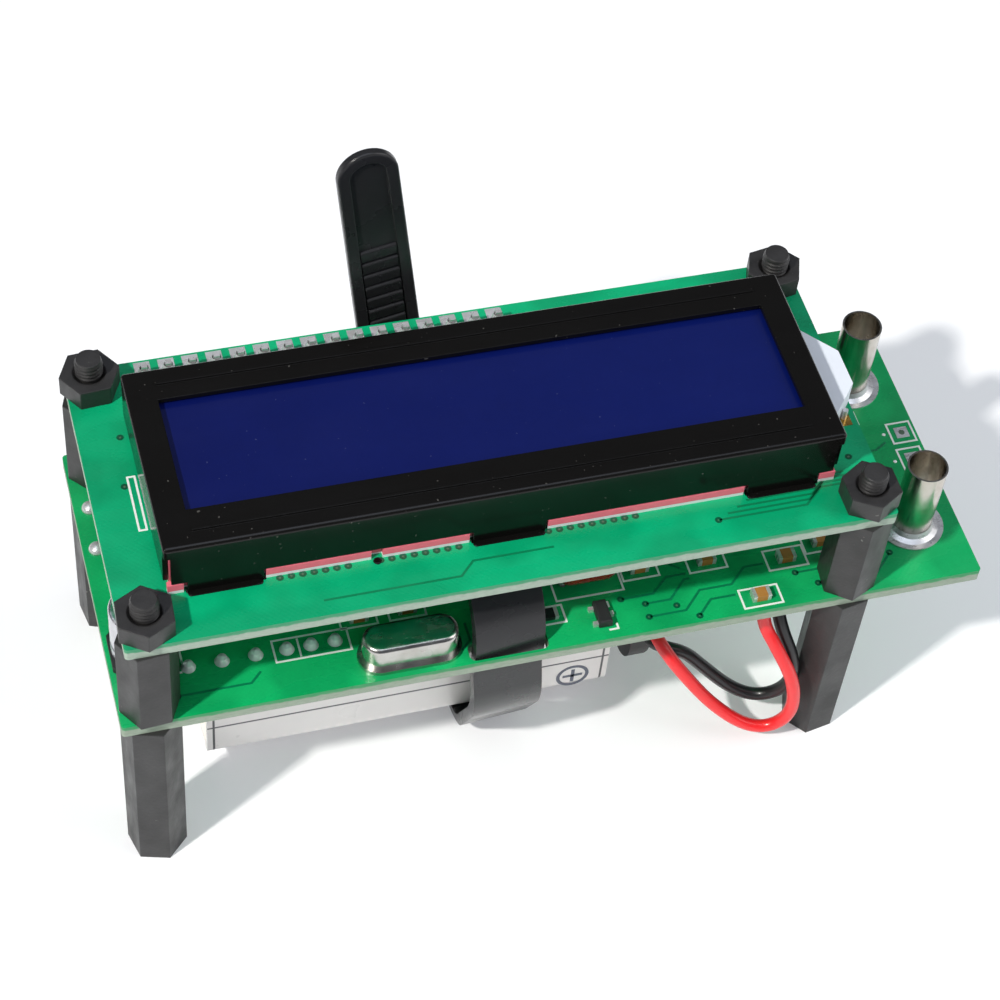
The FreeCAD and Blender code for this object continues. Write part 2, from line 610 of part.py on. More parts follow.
def display_bezel():
    """The folded sheet-metal cap: window, stiffening beads, open lower corners, lamp opening and tabs."""
    skirt = DISPLAY_TOP + SKIRT_LIFT
    cap = box(BEZEL_LEFT, BEZEL_RIGHT, BEZEL_FRONT, BEZEL_BACK, skirt, BEZEL_TOP)
    cap = cap.makeFillet(BEZEL_EDGE_ROUND, edges_along(cap, 2) + edges_at_height(cap, BEZEL_TOP))
    cap = cap.cut(box(BEZEL_LEFT + BEZEL_SHEET, BEZEL_RIGHT - BEZEL_SHEET, BEZEL_FRONT + BEZEL_SHEET,
                      BEZEL_BACK - BEZEL_SHEET, skirt, BEZEL_TOP - BEZEL_SHEET))
    cuts = [box(BEZEL_LEFT + WINDOW_BORDER_X, BEZEL_RIGHT - WINDOW_BORDER_X,
                BEZEL_FRONT + WINDOW_BORDER_Y + WINDOW_SHIFT_Y, BEZEL_BACK - WINDOW_BORDER_Y + WINDOW_SHIFT_Y,
                skirt, BEZEL_TOP)]
    for x in (BEZEL_LEFT, BEZEL_RIGHT):
        for y in (BEZEL_FRONT, BEZEL_BACK):
            cuts.append(centred_box(x, y, 2 * CORNER_RELIEF, 2 * CORNER_RELIEF, skirt,
                                    BEZEL_TOP - CORNER_RELIEF_TOP))
    lamp_half = LAMP_ROOT_DEPTH / 2 + LAMP_OPENING_CLEARANCE
    cuts.append(box(BEZEL_RIGHT - 2 * BEZEL_SHEET, BEZEL_RIGHT + BEZEL_SHEET, LAMP_CENTRE_Y - lamp_half,
                    LAMP_CENTRE_Y + lamp_half, skirt,
                    DISPLAY_TOP + BACKLIGHT_THICKNESS + LAMP_OPENING_CLEARANCE))
    cap = cap.cut(cuts)
    bead_length = BEZEL_LENGTH - 2 * BEAD_END_INSET
    beads = [centred_box(BEZEL_CENTRE_X, y, bead_length, BEAD_WIDTH, BEZEL_TOP - BEZEL_SHEET / 2,
                         BEZEL_TOP + BEAD_HEIGHT)
             for y in (BEZEL_FRONT + BEAD_INSET, BEZEL_BACK - BEAD_INSET)]
    return cap.fuse(beads + bezel_tabs(0)).removeSplitter()


def contact_strips():
    """The two elastomer strips that join the glass to the board."""
    strips = []
    for side in (-1, 1):
        outer = BEZEL_CENTRE_Y + side * STRIP_OUTER
        inner = outer - side * STRIP_WIDTH
        strips.append(box(BEZEL_LEFT + BEZEL_SHEET + STRIP_CLEARANCE,
                          BEZEL_RIGHT - BEZEL_SHEET - STRIP_CLEARANCE,
                          min(outer, inner), max(outer, inner), DISPLAY_TOP + INSULATOR_THICKNESS,
                          FRONT_GLASS_BOTTOM))
    return Part.makeCompound(strips)


def strip_insulators():
    """The white strips under the contact strips."""
    strips = []
    for side in (-1, 1):
        outer = BEZEL_CENTRE_Y + side * STRIP_OUTER
        inner = outer - side * STRIP_WIDTH
        strips.append(box(BEZEL_LEFT + BEZEL_SHEET + STRIP_CLEARANCE,
                          BEZEL_RIGHT - BEZEL_SHEET - STRIP_CLEARANCE,
                          min(outer, inner), max(outer, inner), DISPLAY_TOP,
                          DISPLAY_TOP + INSULATOR_THICKNESS))
    return Part.makeCompound(strips)


def backlight_panel():
    """The white light panel under the glass, with its lamp housing past the right end of the bezel."""
    depth = min(BACKLIGHT_DEPTH, 2 * (STRIP_OUTER - STRIP_WIDTH))
    panel = centred_box(BEZEL_CENTRE_X, BEZEL_CENTRE_Y, GLASS_LENGTH, depth, DISPLAY_TOP, DIFFUSER_BOTTOM)
    root = BEZEL_CENTRE_X + GLASS_LENGTH / 2
    tip = BEZEL_RIGHT + LAMP_REACH
    outline = [(root, LAMP_ROOT_DEPTH), (BEZEL_RIGHT, LAMP_ROOT_DEPTH), (tip, LAMP_TIP_DEPTH)]
    back = [Vector(x, LAMP_CENTRE_Y + width / 2, DISPLAY_TOP) for x, width in outline]
    front = [Vector(x, LAMP_CENTRE_Y - width / 2, DISPLAY_TOP) for x, width in reversed(outline)]
    lamp = Part.Face(Part.makePolygon(back + front + back[:1])).extrude(Vector(0, 0, BACKLIGHT_THICKNESS))
    return panel.fuse(lamp).removeSplitter()


def lamp_pin_places():
    """The two backlight pins, beside the sloping sides of the lamp housing."""
    x = BEZEL_RIGHT + LAMP_REACH - LAMP_PIN_INSET
    return [(x, LAMP_CENTRE_Y + side * LAMP_PIN_OFFSET_Y) for side in (-1, 1)]


def backlight_pins():
    """The two wire pins of the backlight."""
    pins = [cylinder(x, y, DISPLAY_BOTTOM - LAMP_PIN_BELOW, DISPLAY_TOP + LAMP_PIN_RISE, LAMP_PIN_RADIUS)
            for x, y in lamp_pin_places()]
    return Part.makeCompound(pins)


def cell_plate(length, depth, bottom, thickness):
    """One flat sheet of the glass cell."""
    return centred_box(BEZEL_CENTRE_X, BEZEL_CENTRE_Y, length, depth, bottom, bottom + thickness)


def front_glass_depth():
    """The front glass overhangs the rear glass on to the contact strips."""
    return 2 * STRIP_OUTER


def controller_drops():
    """The two black resin drops over the display's controller chips."""
    cap_radius = (DROP_RADIUS ** 2 + DROP_HEIGHT ** 2) / (2 * DROP_HEIGHT)
    drops = []
    for x in DROP_CENTRES_X:
        ball = Part.makeSphere(cap_radius,
                               Vector(x, DROP_CENTRE_Y, DISPLAY_BOTTOM - DROP_HEIGHT + cap_radius))
        slab = cylinder(x, DROP_CENTRE_Y, DISPLAY_BOTTOM - 2 * DROP_HEIGHT, DISPLAY_BOTTOM, 2 * DROP_RADIUS)
        drops.append(ball.common(slab))
    return Part.makeCompound(drops)


def header_pins():
    """The square pins of the header, from above the display board down into the socket."""
    bottom = MAIN_TOP + SOCKET_HEIGHT - PIN_IN_SOCKET
    return Part.makeCompound([centred_box(x, HEADER_Y, PIN_THICKNESS, PIN_THICKNESS, bottom,
                                          DISPLAY_TOP + PIN_ABOVE_BOARD) for x in header_xs()])


def notched_strip(bottom, top):
    """A header body whose sides are nicked between the pins."""
    strip = centred_box(HEADER_CENTRE_X, HEADER_Y, HEADER_LENGTH, HEADER_WIDTH, bottom, top)
    nick = HEADER_WIDTH / 8
    cuts = []
    for x in header_xs()[:-1]:
        for side in (-1, 1):
            edge_y = HEADER_Y + side * HEADER_WIDTH / 2
            corners = [Vector(x + HEADER_PITCH / 2 - nick, edge_y, bottom),
                       Vector(x + HEADER_PITCH / 2 + nick, edge_y, bottom),
                       Vector(x + HEADER_PITCH / 2, edge_y - side * nick, bottom)]
            outline = Part.Face(Part.makePolygon(corners + corners[:1]))
            cuts.append(outline.extrude(Vector(0, 0, top - bottom)))
    return strip.cut(cuts)


def header_strip():
    """The black strip that holds the header pins under the display board."""
    strip = notched_strip(HEADER_STRIP_BOTTOM, DISPLAY_BOTTOM)
    return strip.cut([centred_box(x, HEADER_Y, PIN_THICKNESS, PIN_THICKNESS, HEADER_STRIP_BOTTOM,
                                  DISPLAY_BOTTOM)
                      for x in header_xs()])


def header_socket():
    """The socket on the main board that takes the header pins."""
    top = MAIN_TOP + SOCKET_HEIGHT
    body = centred_box(HEADER_CENTRE_X, HEADER_Y, HEADER_LENGTH, HEADER_WIDTH, MAIN_TOP, top)
    return body.cut([centred_box(x, HEADER_Y, SOCKET_HOLE, SOCKET_HOLE, top - PIN_IN_SOCKET - SLIDER_GAP, top)
                     for x in header_xs()])


def socket_tails():
    """The socket's solder tails, through the main board."""
    return Part.makeCompound([centred_box(x, HEADER_Y, PIN_THICKNESS, PIN_THICKNESS,
                                          MAIN_BOTTOM - TAIL_BELOW_BOARD, MAIN_TOP) for x in header_xs()])


def header_solder():
    """Cones of solder round the pins on top of the display board and round the tails under the main board."""
    inner = PIN_THICKNESS / math.sqrt(2) + SOLDER_GAP
    cones = []
    for x in header_xs():
        cones.append(revolved(x, HEADER_Y, [(inner, DISPLAY_TOP), (SOLDER_WIDTH / 2, DISPLAY_TOP),
                                            (inner, DISPLAY_TOP + SOLDER_HEIGHT)]))
        cones.append(revolved(x, HEADER_Y, [(inner, MAIN_BOTTOM), (SOLDER_WIDTH / 2, MAIN_BOTTOM),
                                            (inner, MAIN_BOTTOM - TAIL_SOLDER_HEIGHT)]))
    return Part.makeCompound(cones)


def test_terminal(x, y):
    """A plated tube soldered through the main board, open at the top for a plug."""
    return ring(x, y, MAIN_BOTTOM - TERMINAL_BELOW_BOARD, MAIN_TOP + TERMINAL_HEIGHT, TERMINAL_RADIUS,
                TERMINAL_BORE_RADIUS)


def terminal_pads():
    """The tinned rings round the terminals."""
    return Part.makeCompound([ring(x, y, MAIN_TOP, MAIN_TOP + PAD_THICKNESS, PAD_RADIUS,
                                   TERMINAL_RADIUS + TERMINAL_HOLE_CLEARANCE)
                              for x, y in terminal_places().values()])


def terminal_solder():
    """The fillets of solder between each terminal and its pad."""
    inner = TERMINAL_RADIUS + SOLDER_GAP
    base = MAIN_TOP + PAD_THICKNESS
    profile = [(inner, base), (inner + TERMINAL_FILLET, base),
               (inner + TERMINAL_FILLET / 3, base + TERMINAL_FILLET / 3), (inner, base + TERMINAL_FILLET)]
    return Part.makeCompound([revolved(x, y, profile) for x, y in terminal_places().values()])


def crystal_base():
    """The crystal's flanged base."""
    return obround(CRYSTAL_X, CRYSTAL_Y, CRYSTAL_CAN_LENGTH + 2 * CRYSTAL_FLANGE,
                   CRYSTAL_CAN_DEPTH + 2 * CRYSTAL_FLANGE, MAIN_TOP, MAIN_TOP + CRYSTAL_FLANGE_HEIGHT)


def crystal_can():
    """The crystal's drawn can, rounded along its top."""
    top = MAIN_TOP + CRYSTAL_HEIGHT
    can = obround(CRYSTAL_X, CRYSTAL_Y, CRYSTAL_CAN_LENGTH, CRYSTAL_CAN_DEPTH,
                  MAIN_TOP + CRYSTAL_FLANGE_HEIGHT, top)
    return can.makeFillet(CRYSTAL_ROUND, edges_at_height(can, top))


def film_lead_xs():
    """The two leads of the film capacitor."""
    return [FILM_CAP_X - FILM_CAP_LEAD_PITCH / 2, FILM_CAP_X + FILM_CAP_LEAD_PITCH / 2]


def film_capacitor():
    """The dipped body of the film capacitor, rounded all over."""
    bottom = MAIN_TOP + FILM_CAP_STANDOFF
    body = centred_box(FILM_CAP_X, FILM_CAP_Y, FILM_CAP_LENGTH, FILM_CAP_DEPTH, bottom,
                       bottom + FILM_CAP_HEIGHT)
    return body.makeFillet(0.45 * FILM_CAP_DEPTH, body.Edges)


def film_capacitor_leads():
    """The film capacitor's two wire leads."""
    return Part.makeCompound([cylinder(x, FILM_CAP_Y, MAIN_BOTTOM - LEAD_BELOW_BOARD,
                                       MAIN_TOP + FILM_CAP_STANDOFF,
                                       LEAD_RADIUS) for x in film_lead_xs()])


def electrolytic_base():
    """The black plastic foot of the electrolytic capacitor, with two cut corners."""
    base = centred_box(ELECTROLYTIC_X, ELECTROLYTIC_Y, ELECTROLYTIC_BASE, ELECTROLYTIC_BASE, MAIN_TOP,
                       MAIN_TOP + ELECTROLYTIC_BASE_HEIGHT)
    left_edges = [e for e in edges_along(base, 2) if e.CenterOfMass.x < ELECTROLYTIC_X]
    return base.makeChamfer(ELECTROLYTIC_CHAMFER, left_edges)


def electrolytic_can():
    """The aluminium can of the electrolytic capacitor, with its crimp groove and rounded top."""
    bottom = MAIN_TOP + ELECTROLYTIC_BASE_HEIGHT
    top = MAIN_TOP + ELECTROLYTIC_HEIGHT
    can = cylinder(ELECTROLYTIC_X, ELECTROLYTIC_Y, bottom, top, ELECTROLYTIC_RADIUS)
    can = can.makeFillet(ELECTROLYTIC_GROOVE, edges_at_height(can, top))
    groove = Part.makeTorus(ELECTROLYTIC_RADIUS + ELECTROLYTIC_GROOVE / 2, ELECTROLYTIC_GROOVE,
                            Vector(ELECTROLYTIC_X, ELECTROLYTIC_Y, bottom + ELECTROLYTIC_GROOVE_HEIGHT))
    return can.cut(groove)


def gull_wing(reach, body_half, lead_width, foot_z, shoulder_z, thickness):
    """A bent lead that leaves a chip's side along +X, steps down and lies on the board."""
    rise = body_half + 0.35 * reach
    end = body_half + reach
    points = [(body_half, shoulder_z + thickness), (rise + thickness, shoulder_z + thickness),
              (rise + thickness, foot_z + thickness), (end, foot_z + thickness), (end, foot_z),
              (rise, foot_z),
              (rise, shoulder_z), (body_half, shoulder_z)]
    outline = [Vector(x, -lead_width / 2, z) for x, z in points]
    return Part.Face(Part.makePolygon(outline + outline[:1])).extrude(Vector(0, lead_width, 0))


def microcontroller():
    """The square body of the microcontroller."""
    bottom = MAIN_TOP + CHIP_STANDOFF
    body = centred_box(CHIP_X, CHIP_Y, CHIP_SIZE, CHIP_SIZE, bottom, bottom + CHIP_HEIGHT)
    return body.makeChamfer(CHIP_STANDOFF, edges_at_height(body, bottom + CHIP_HEIGHT))


def microcontroller_leads():
    """The gull-wing leads on the four sides of the microcontroller."""
    leads = []
    first = -(CHIP_LEADS_PER_SIDE - 1) * CHIP_LEAD_PITCH / 2
    for side in range(4):
        for step in range(CHIP_LEADS_PER_SIDE):
            lead = gull_wing(CHIP_LEAD_REACH, CHIP_SIZE / 2, CHIP_LEAD_WIDTH, MAIN_TOP,
                             MAIN_TOP + CHIP_STANDOFF + CHIP_HEIGHT / 2, CHIP_LEAD_THICKNESS)
            lead.translate(Vector(0, first + step * CHIP_LEAD_PITCH, 0))
            lead.rotate(Vector(0, 0, 0), Vector(0, 0, 1), 90 * side)
            lead.translate(Vector(CHIP_X, CHIP_Y, 0))
            leads.append(lead)
    return Part.makeCompound(leads)


def voltage_regulator():
    """The moulded body of the voltage regulator."""
    body = centred_box(REGULATOR_X, REGULATOR_Y, REGULATOR_LENGTH, REGULATOR_DEPTH, MAIN_TOP,
                       MAIN_TOP + REGULATOR_HEIGHT)
    return body.makeChamfer(CHIP_STANDOFF, edges_at_height(body, MAIN_TOP + REGULATOR_HEIGHT))


def regulator_leads():
    """The regulator's three leads and its cooling tab."""
    front = REGULATOR_Y - REGULATOR_DEPTH / 2
    back = REGULATOR_Y + REGULATOR_DEPTH / 2
    leads = [box(x - REGULATOR_LEAD_WIDTH / 2, x + REGULATOR_LEAD_WIDTH / 2, front - CHIP_LEAD_REACH, front,
                 MAIN_TOP, MAIN_TOP + REGULATOR_LEAD_WIDTH)
                 for x in row_of_three(REGULATOR_X, REGULATOR_LEAD_PITCH)]
    leads.append(centred_box(REGULATOR_X, back + CHIP_LEAD_REACH / 2, REGULATOR_LEAD_PITCH, CHIP_LEAD_REACH,
                             MAIN_TOP,
                             MAIN_TOP + REGULATOR_LEAD_WIDTH))
    return Part.makeCompound(leads)


def switching_diode():
    """The three-lead diode's body, long side along Y."""
    bottom = MAIN_TOP + SMALL_LEAD_THICKNESS
    body = centred_box(DIODE_X, DIODE_Y, DIODE_WIDTH, DIODE_LENGTH, bottom, bottom + DIODE_HEIGHT)
    return body.makeChamfer(SMALL_LEAD_THICKNESS, edges_at_height(body, bottom + DIODE_HEIGHT))


def diode_leads():
    """Two leads on the diode's left side and one on its right."""
    leads = []
    for side, y in ((-1, DIODE_Y - DIODE_LEAD_PITCH / 2), (-1, DIODE_Y + DIODE_LEAD_PITCH / 2), (1, DIODE_Y)):
        inner = DIODE_X + side * DIODE_WIDTH / 2
        outer = inner + side * DIODE_LEAD_REACH
        leads.append(box(min(inner, outer), max(inner, outer), y - DIODE_LEAD_WIDTH / 2,
                         y + DIODE_LEAD_WIDTH / 2,
                         MAIN_TOP, MAIN_TOP + SMALL_LEAD_THICKNESS + DIODE_HEIGHT / 3))
    return Part.makeCompound(leads)


def chip_parts(centres, height, board_z, up):
    """Bodies of small chip parts on one side of a board: up is 1 on top, -1 underneath."""
    length = CHIP_PART_LENGTH - 2 * END_CAP_LENGTH
    return [centred_box(x, y, length, CHIP_PART_DEPTH, min(board_z, board_z + up * height),
                        max(board_z, board_z + up * height)) for x, y in centres]


def chip_ends(centres, height, board_z, up):
    """The plated ends of small chip parts."""
    offset = (CHIP_PART_LENGTH - END_CAP_LENGTH) / 2
    ends = []
    for x, y in centres:
        for side in (-1, 1):
            ends.append(centred_box(x + side * offset, y, END_CAP_LENGTH, CHIP_PART_DEPTH,
                                    min(board_z, board_z + up * height), max(board_z, board_z + up * height)))
    return ends


def chip_end_caps():
    """The plated ends of every chip resistor and capacitor on both boards."""
    return Part.makeCompound(chip_ends(RESISTOR_CENTRES, RESISTOR_HEIGHT, MAIN_TOP, 1)
                             + chip_ends(CAPACITOR_CENTRES, CAPACITOR_HEIGHT, MAIN_TOP, 1)
                             + chip_ends(DISPLAY_CHIP_CENTRES, RESISTOR_HEIGHT, DISPLAY_BOTTOM, -1))


def chip_resistors():
    """The chip resistors' bodies on both boards."""
    return Part.makeCompound(chip_parts(RESISTOR_CENTRES, RESISTOR_HEIGHT, MAIN_TOP, 1)
                             + chip_parts(DISPLAY_CHIP_CENTRES, RESISTOR_HEIGHT, DISPLAY_BOTTOM, -1))


def chip_capacitors():
    """The chip capacitors' bodies."""
    return Part.makeCompound(chip_parts(CAPACITOR_CENTRES, CAPACITOR_HEIGHT, MAIN_TOP, 1))


def front_solder_joints():
    """Domes of solder over the switch and link pins."""
    places = row_of_three(SWITCH_X, SWITCH_PIN_PITCH) + row_of_three(LINK_X, LINK_PIN_PITCH)
    top = MAIN_TOP + PIN_THROUGH
    profile = [(0, top), (PIN_HOLE_RADIUS, top), (PIN_HOLE_RADIUS, MAIN_TOP), (JOINT_RADIUS, MAIN_TOP),
               (PIN_HOLE_RADIUS, top + JOINT_HEIGHT / 2), (0, top + JOINT_HEIGHT)]
    return Part.makeCompound([revolved(x, FRONT_JOINT_Y, profile) for x in places])


def switch_frame():
    """Corners of the power switch under the board and the level of its lower face."""
    return (SWITCH_X - SWITCH_LENGTH / 2, SWITCH_X + SWITCH_LENGTH / 2, FRONT_JOINT_Y - SWITCH_DEPTH / 2,
            FRONT_JOINT_Y + SWITCH_DEPTH / 2, MAIN_BOTTOM - SWITCH_HEIGHT)


def power_switch_body():
    """The shell of the slide switch, with a chamber for the slider's foot and a slot for its knob."""
    left, right, front, back, lower = switch_frame()
    shell = box(left, right, front, back, lower, MAIN_BOTTOM)
    chamber_length = SLIDER_FOOT_LENGTH + SWITCH_TRAVEL + 2 * SLIDER_GAP
    chamber_depth = SLIDER_FOOT_DEPTH + 2 * SLIDER_GAP
    chamber_top = lower + SWITCH_WALL + SLIDER_FOOT_HEIGHT + 2 * SLIDER_GAP
    chamber = centred_box(SWITCH_X, FRONT_JOINT_Y, chamber_length, chamber_depth, lower + SWITCH_WALL,
                          chamber_top)
    slot = centred_box(SWITCH_X, FRONT_JOINT_Y, SLIDER_LENGTH + SWITCH_TRAVEL + 2 * SLIDER_GAP,
                       SLIDER_DEPTH + 2 * SLIDER_GAP, lower, lower + SWITCH_WALL)
    return shell.cut([chamber, slot])


def power_switch_slider():
    """The slider: a foot inside the shell and a knob below it, at the left end of its travel."""
    lower = switch_frame()[-1]
    x = SWITCH_X - SWITCH_TRAVEL / 2
    foot_bottom = lower + SWITCH_WALL + SLIDER_GAP
    foot = centred_box(x, FRONT_JOINT_Y, SLIDER_FOOT_LENGTH, SLIDER_FOOT_DEPTH, foot_bottom,
                       foot_bottom + SLIDER_FOOT_HEIGHT)
    knob = centred_box(x, FRONT_JOINT_Y, SLIDER_LENGTH, SLIDER_DEPTH, lower - SLIDER_DROP, foot_bottom)
    knob = knob.makeChamfer(SLIDER_GAP, edges_at_height(knob, lower - SLIDER_DROP))
    return foot.fuse(knob).removeSplitter()


def power_switch_pins():
    """The switch's three pins through the main board."""
    return Part.makeCompound([centred_box(x, FRONT_JOINT_Y, SWITCH_PIN_WIDTH, SWITCH_PIN_THICKNESS,
                                          MAIN_BOTTOM,
                                          MAIN_TOP + PIN_THROUGH)
                              for x in row_of_three(SWITCH_X, SWITCH_PIN_PITCH)])


def link_header():
    """The three-way link header's body under the board."""
    body = centred_box(LINK_X, FRONT_JOINT_Y, 3 * LINK_PIN_PITCH, HEADER_WIDTH,
                       MAIN_BOTTOM - LINK_BODY_HEIGHT,
                       MAIN_BOTTOM)
    return body.cut([centred_box(x, FRONT_JOINT_Y, PIN_THICKNESS, PIN_THICKNESS,
                                 MAIN_BOTTOM - LINK_BODY_HEIGHT,
                                 MAIN_BOTTOM) for x in row_of_three(LINK_X, LINK_PIN_PITCH)])


def link_pins():
    """The link header's three pins."""
    return Part.makeCompound([centred_box(x, FRONT_JOINT_Y, PIN_THICKNESS, PIN_THICKNESS,
                                          MAIN_BOTTOM - LINK_BODY_HEIGHT - LINK_PIN_DROP,
                                          MAIN_TOP + PIN_THROUGH)
                              for x in row_of_three(LINK_X, LINK_PIN_PITCH)])


def battery_case():
    """The battery's jacket with rounded long edges, and a plate sunk behind the rim at each end."""
    case = rounded_block(BATTERY_LEFT, BATTERY_RIGHT, BATTERY_FRONT, BATTERY_BACK, BATTERY_BOTTOM,
                         BATTERY_TOP,
                         BATTERY_EDGE_ROUND, axis=0)
    recess = rounded_block(BATTERY_LEFT, BATTERY_LEFT + BATTERY_RIM_DEPTH, BATTERY_FRONT + BATTERY_RIM,
                           BATTERY_BACK - BATTERY_RIM, BATTERY_BOTTOM + BATTERY_RIM,
                           BATTERY_TOP - BATTERY_RIM,
                           BATTERY_EDGE_ROUND - BATTERY_RIM / 2, axis=0)
    return case.cut(recess)


def bar_along_x(y, x0, x1, radius):
    """A round bar along X at the battery's mid height."""
    return Part.makeCylinder(radius, x1 - x0, Vector(x0, y, BATTERY_CENTRE_Z), Vector(1, 0, 0))


def stud_places():
    """The battery's positive stud in front and its negative stud behind."""
    return BATTERY_CENTRE_Y - BATTERY_STUD_PITCH / 2, BATTERY_CENTRE_Y + BATTERY_STUD_PITCH / 2


def studs(male_y, female_y, x0, x1):
    """A plain stud and an open cup beside it, as on each half of a snap connection."""
    cup = bar_along_x(female_y, x0, x1, NEGATIVE_STUD_RADIUS)
    cup = cup.cut(bar_along_x(female_y, x0, x1, NEGATIVE_STUD_RADIUS - STUD_WALL))
    return Part.makeCompound([bar_along_x(male_y, x0, x1, POSITIVE_STUD_RADIUS), cup])


def battery_terminals():
    """The battery's stud and cup on its right end."""
    positive, negative = stud_places()
    return studs(positive, negative, BATTERY_RIGHT, BATTERY_RIGHT + STUD_HEIGHT)


def snap_contacts():
    """The snap cap's stud and cup, each mated with the opposite one on the battery."""
    positive, negative = stud_places()
    return studs(negative, positive, BATTERY_RIGHT + STUD_GAP, SNAP_LEFT)


def battery_snap_cap():
    """The moulded cap that carries the snap contacts and the two leads."""
    cap = rounded_block(SNAP_LEFT, SNAP_LEFT + SNAP_THICKNESS, BATTERY_CENTRE_Y - SNAP_LENGTH / 2,
                        BATTERY_CENTRE_Y + SNAP_LENGTH / 2, BATTERY_CENTRE_Z - SNAP_HEIGHT / 2,
                        BATTERY_CENTRE_Z + SNAP_HEIGHT / 2, SNAP_CORNER, axis=0)
    outer = SNAP_LEFT + SNAP_THICKNESS
    rim = [e for e in cap.Edges if abs(e.BoundBox.XMin - outer) < 1e-4
           and abs(e.BoundBox.XMax - outer) < 1e-4]
    return cap.makeFillet(SNAP_EDGE_ROUND, rim)


def strap_over_route():
    """The strap's centre line from its head over the board, through two slots, with each corner's bend."""
    arch = (STRAP_MID_SLOT_Y - STRAP_FRONT_SLOT_Y) / 2 - STRAP_CLEARANCE
    arch_top = MAIN_TOP + STRAP_ARCH_HEIGHT
    points = [(HEAD_FRONT + STRAP_ROOT_DEPTH, BAND_LEVEL), (STRAP_MID_SLOT_Y, BAND_LEVEL),
              (STRAP_MID_SLOT_Y, arch_top), (STRAP_FRONT_SLOT_Y, arch_top),
              (STRAP_FRONT_SLOT_Y, STRAP_JOIN_LEVEL)]
    return [Vector(0, y, z) for y, z in points], [STRAP_BEND, arch, arch]


def strap_under_route():
    """The strap's centre line from the front slot round the battery and through the head, with its bends."""
    under = BATTERY_BOTTOM - STRAP_CLEARANCE - STRAP_THICKNESS / 2
    points = [(STRAP_FRONT_SLOT_Y, STRAP_JOIN_LEVEL),
              (STRAP_FRONT_SLOT_Y, BATTERY_BOTTOM + STRAP_EASE_HEIGHT),
              (BATTERY_FRONT - STRAP_STAND_OFF, under), (BATTERY_BACK + STRAP_THICKNESS, under),
              (TAIL_Y, HEAD_BOTTOM - STRAP_CORNER), (TAIL_Y, HEAD_TOP)]
    radii = [STRAP_EASE_BEND, STRAP_FRONT_CORNER, STRAP_CORNER, STRAP_EASY_BEND]
    return [Vector(0, y, z) for y, z in points], radii


def drifted(shape):
    """A shape that moves further right the lower it hangs below the level where the strap's runs join."""
    drift = math.tan(math.radians(STRAP_DRIFT_DEG))
    lean = FreeCAD.Matrix()
    lean.A13 = -drift
    lean.A14 = drift * STRAP_JOIN_LEVEL
    return shape.transformGeometry(lean)


def tail_blank(inset, front, back):
    """The tail's tapered, round-ended outline drawn in by an inset, between two planes along Y."""
    root = TAIL_ROOT_WIDTH / 2 - inset
    end = TAIL_END_WIDTH / 2 - inset
    straight_top = HEAD_TOP + TAIL_LENGTH - TAIL_END_WIDTH / 2
    corners = [Vector(-root, front, HEAD_TOP), Vector(-end, front, straight_top),
               Vector(end, front, straight_top),
               Vector(root, front, HEAD_TOP)]
    edges = [Part.LineSegment(corners[0], corners[1]).toShape(),
             Part.Arc(corners[1], Vector(0, front, straight_top + end), corners[2]).toShape(),
             Part.LineSegment(corners[2], corners[3]).toShape(),
             Part.LineSegment(corners[3], corners[0]).toShape()]
    return Part.Face(Part.Wire(edges)).extrude(Vector(0, back - front, 0))


def strap_tail():
    """The tail above the head: a tapered, round-ended strip with side rails, a channel and ribs in front."""
    front = TAIL_Y - TAIL_THICKNESS / 2
    back = TAIL_Y + TAIL_THICKNESS / 2
    strip = tail_blank(0, front, back)
    rim = [e for e in strip.Edges if e.BoundBox.YLength < 1e-4 and e.BoundBox.ZMax > HEAD_TOP + 1e-4]
    strip = strip.makeFillet(TAIL_EDGE_ROUND, rim)
    strip = strip.cut(tail_blank(TAIL_RAIL_WIDTH, front, front + TAIL_CHANNEL_DEPTH))
    rib_half = TAIL_END_WIDTH / 2 - TAIL_RAIL_WIDTH
    floor = front + TAIL_CHANNEL_DEPTH
    ribs = []
    for step in range(TAIL_RIBS):
        bottom = HEAD_TOP + TAIL_FIRST_RIB + step * TAIL_RIB_PITCH
        top = bottom + TAIL_RIB_THICKNESS
        profile = [Vector(-rib_half, floor, bottom), Vector(-rib_half, front + TAIL_RIB_SLOPE, bottom),
                   Vector(-rib_half, front, top - TAIL_RIB_SLOPE),
                   Vector(-rib_half, front + TAIL_RIB_SLOPE, top),
                   Vector(-rib_half, floor, top)]
        ribs.append(Part.Face(Part.makePolygon(profile + profile[:1])).extrude(Vector(2 * rib_half, 0, 0)))
    tail = strip.fuse(ribs).removeSplitter()
    tail.rotate(Vector(0, TAIL_Y, HEAD_TOP), Vector(0, 1, 0), -TAIL_LEAN_DEG)
    return tail


def pawl_pocket():
    """The front and back faces of the pawl's pocket in the head, and the pawl's own front face."""
    pocket_back = TAIL_Y - STRAP_THICKNESS / 2 - STRAP_CLEARANCE
    pawl_back = TAIL_Y - STRAP_THICKNESS / 2 - PAWL_TAIL_GAP - PAWL_TOOTH
    pawl_front = pawl_back - PAWL_THICKNESS
    return pawl_front - PAWL_SWING_GAP, pocket_back, pawl_front


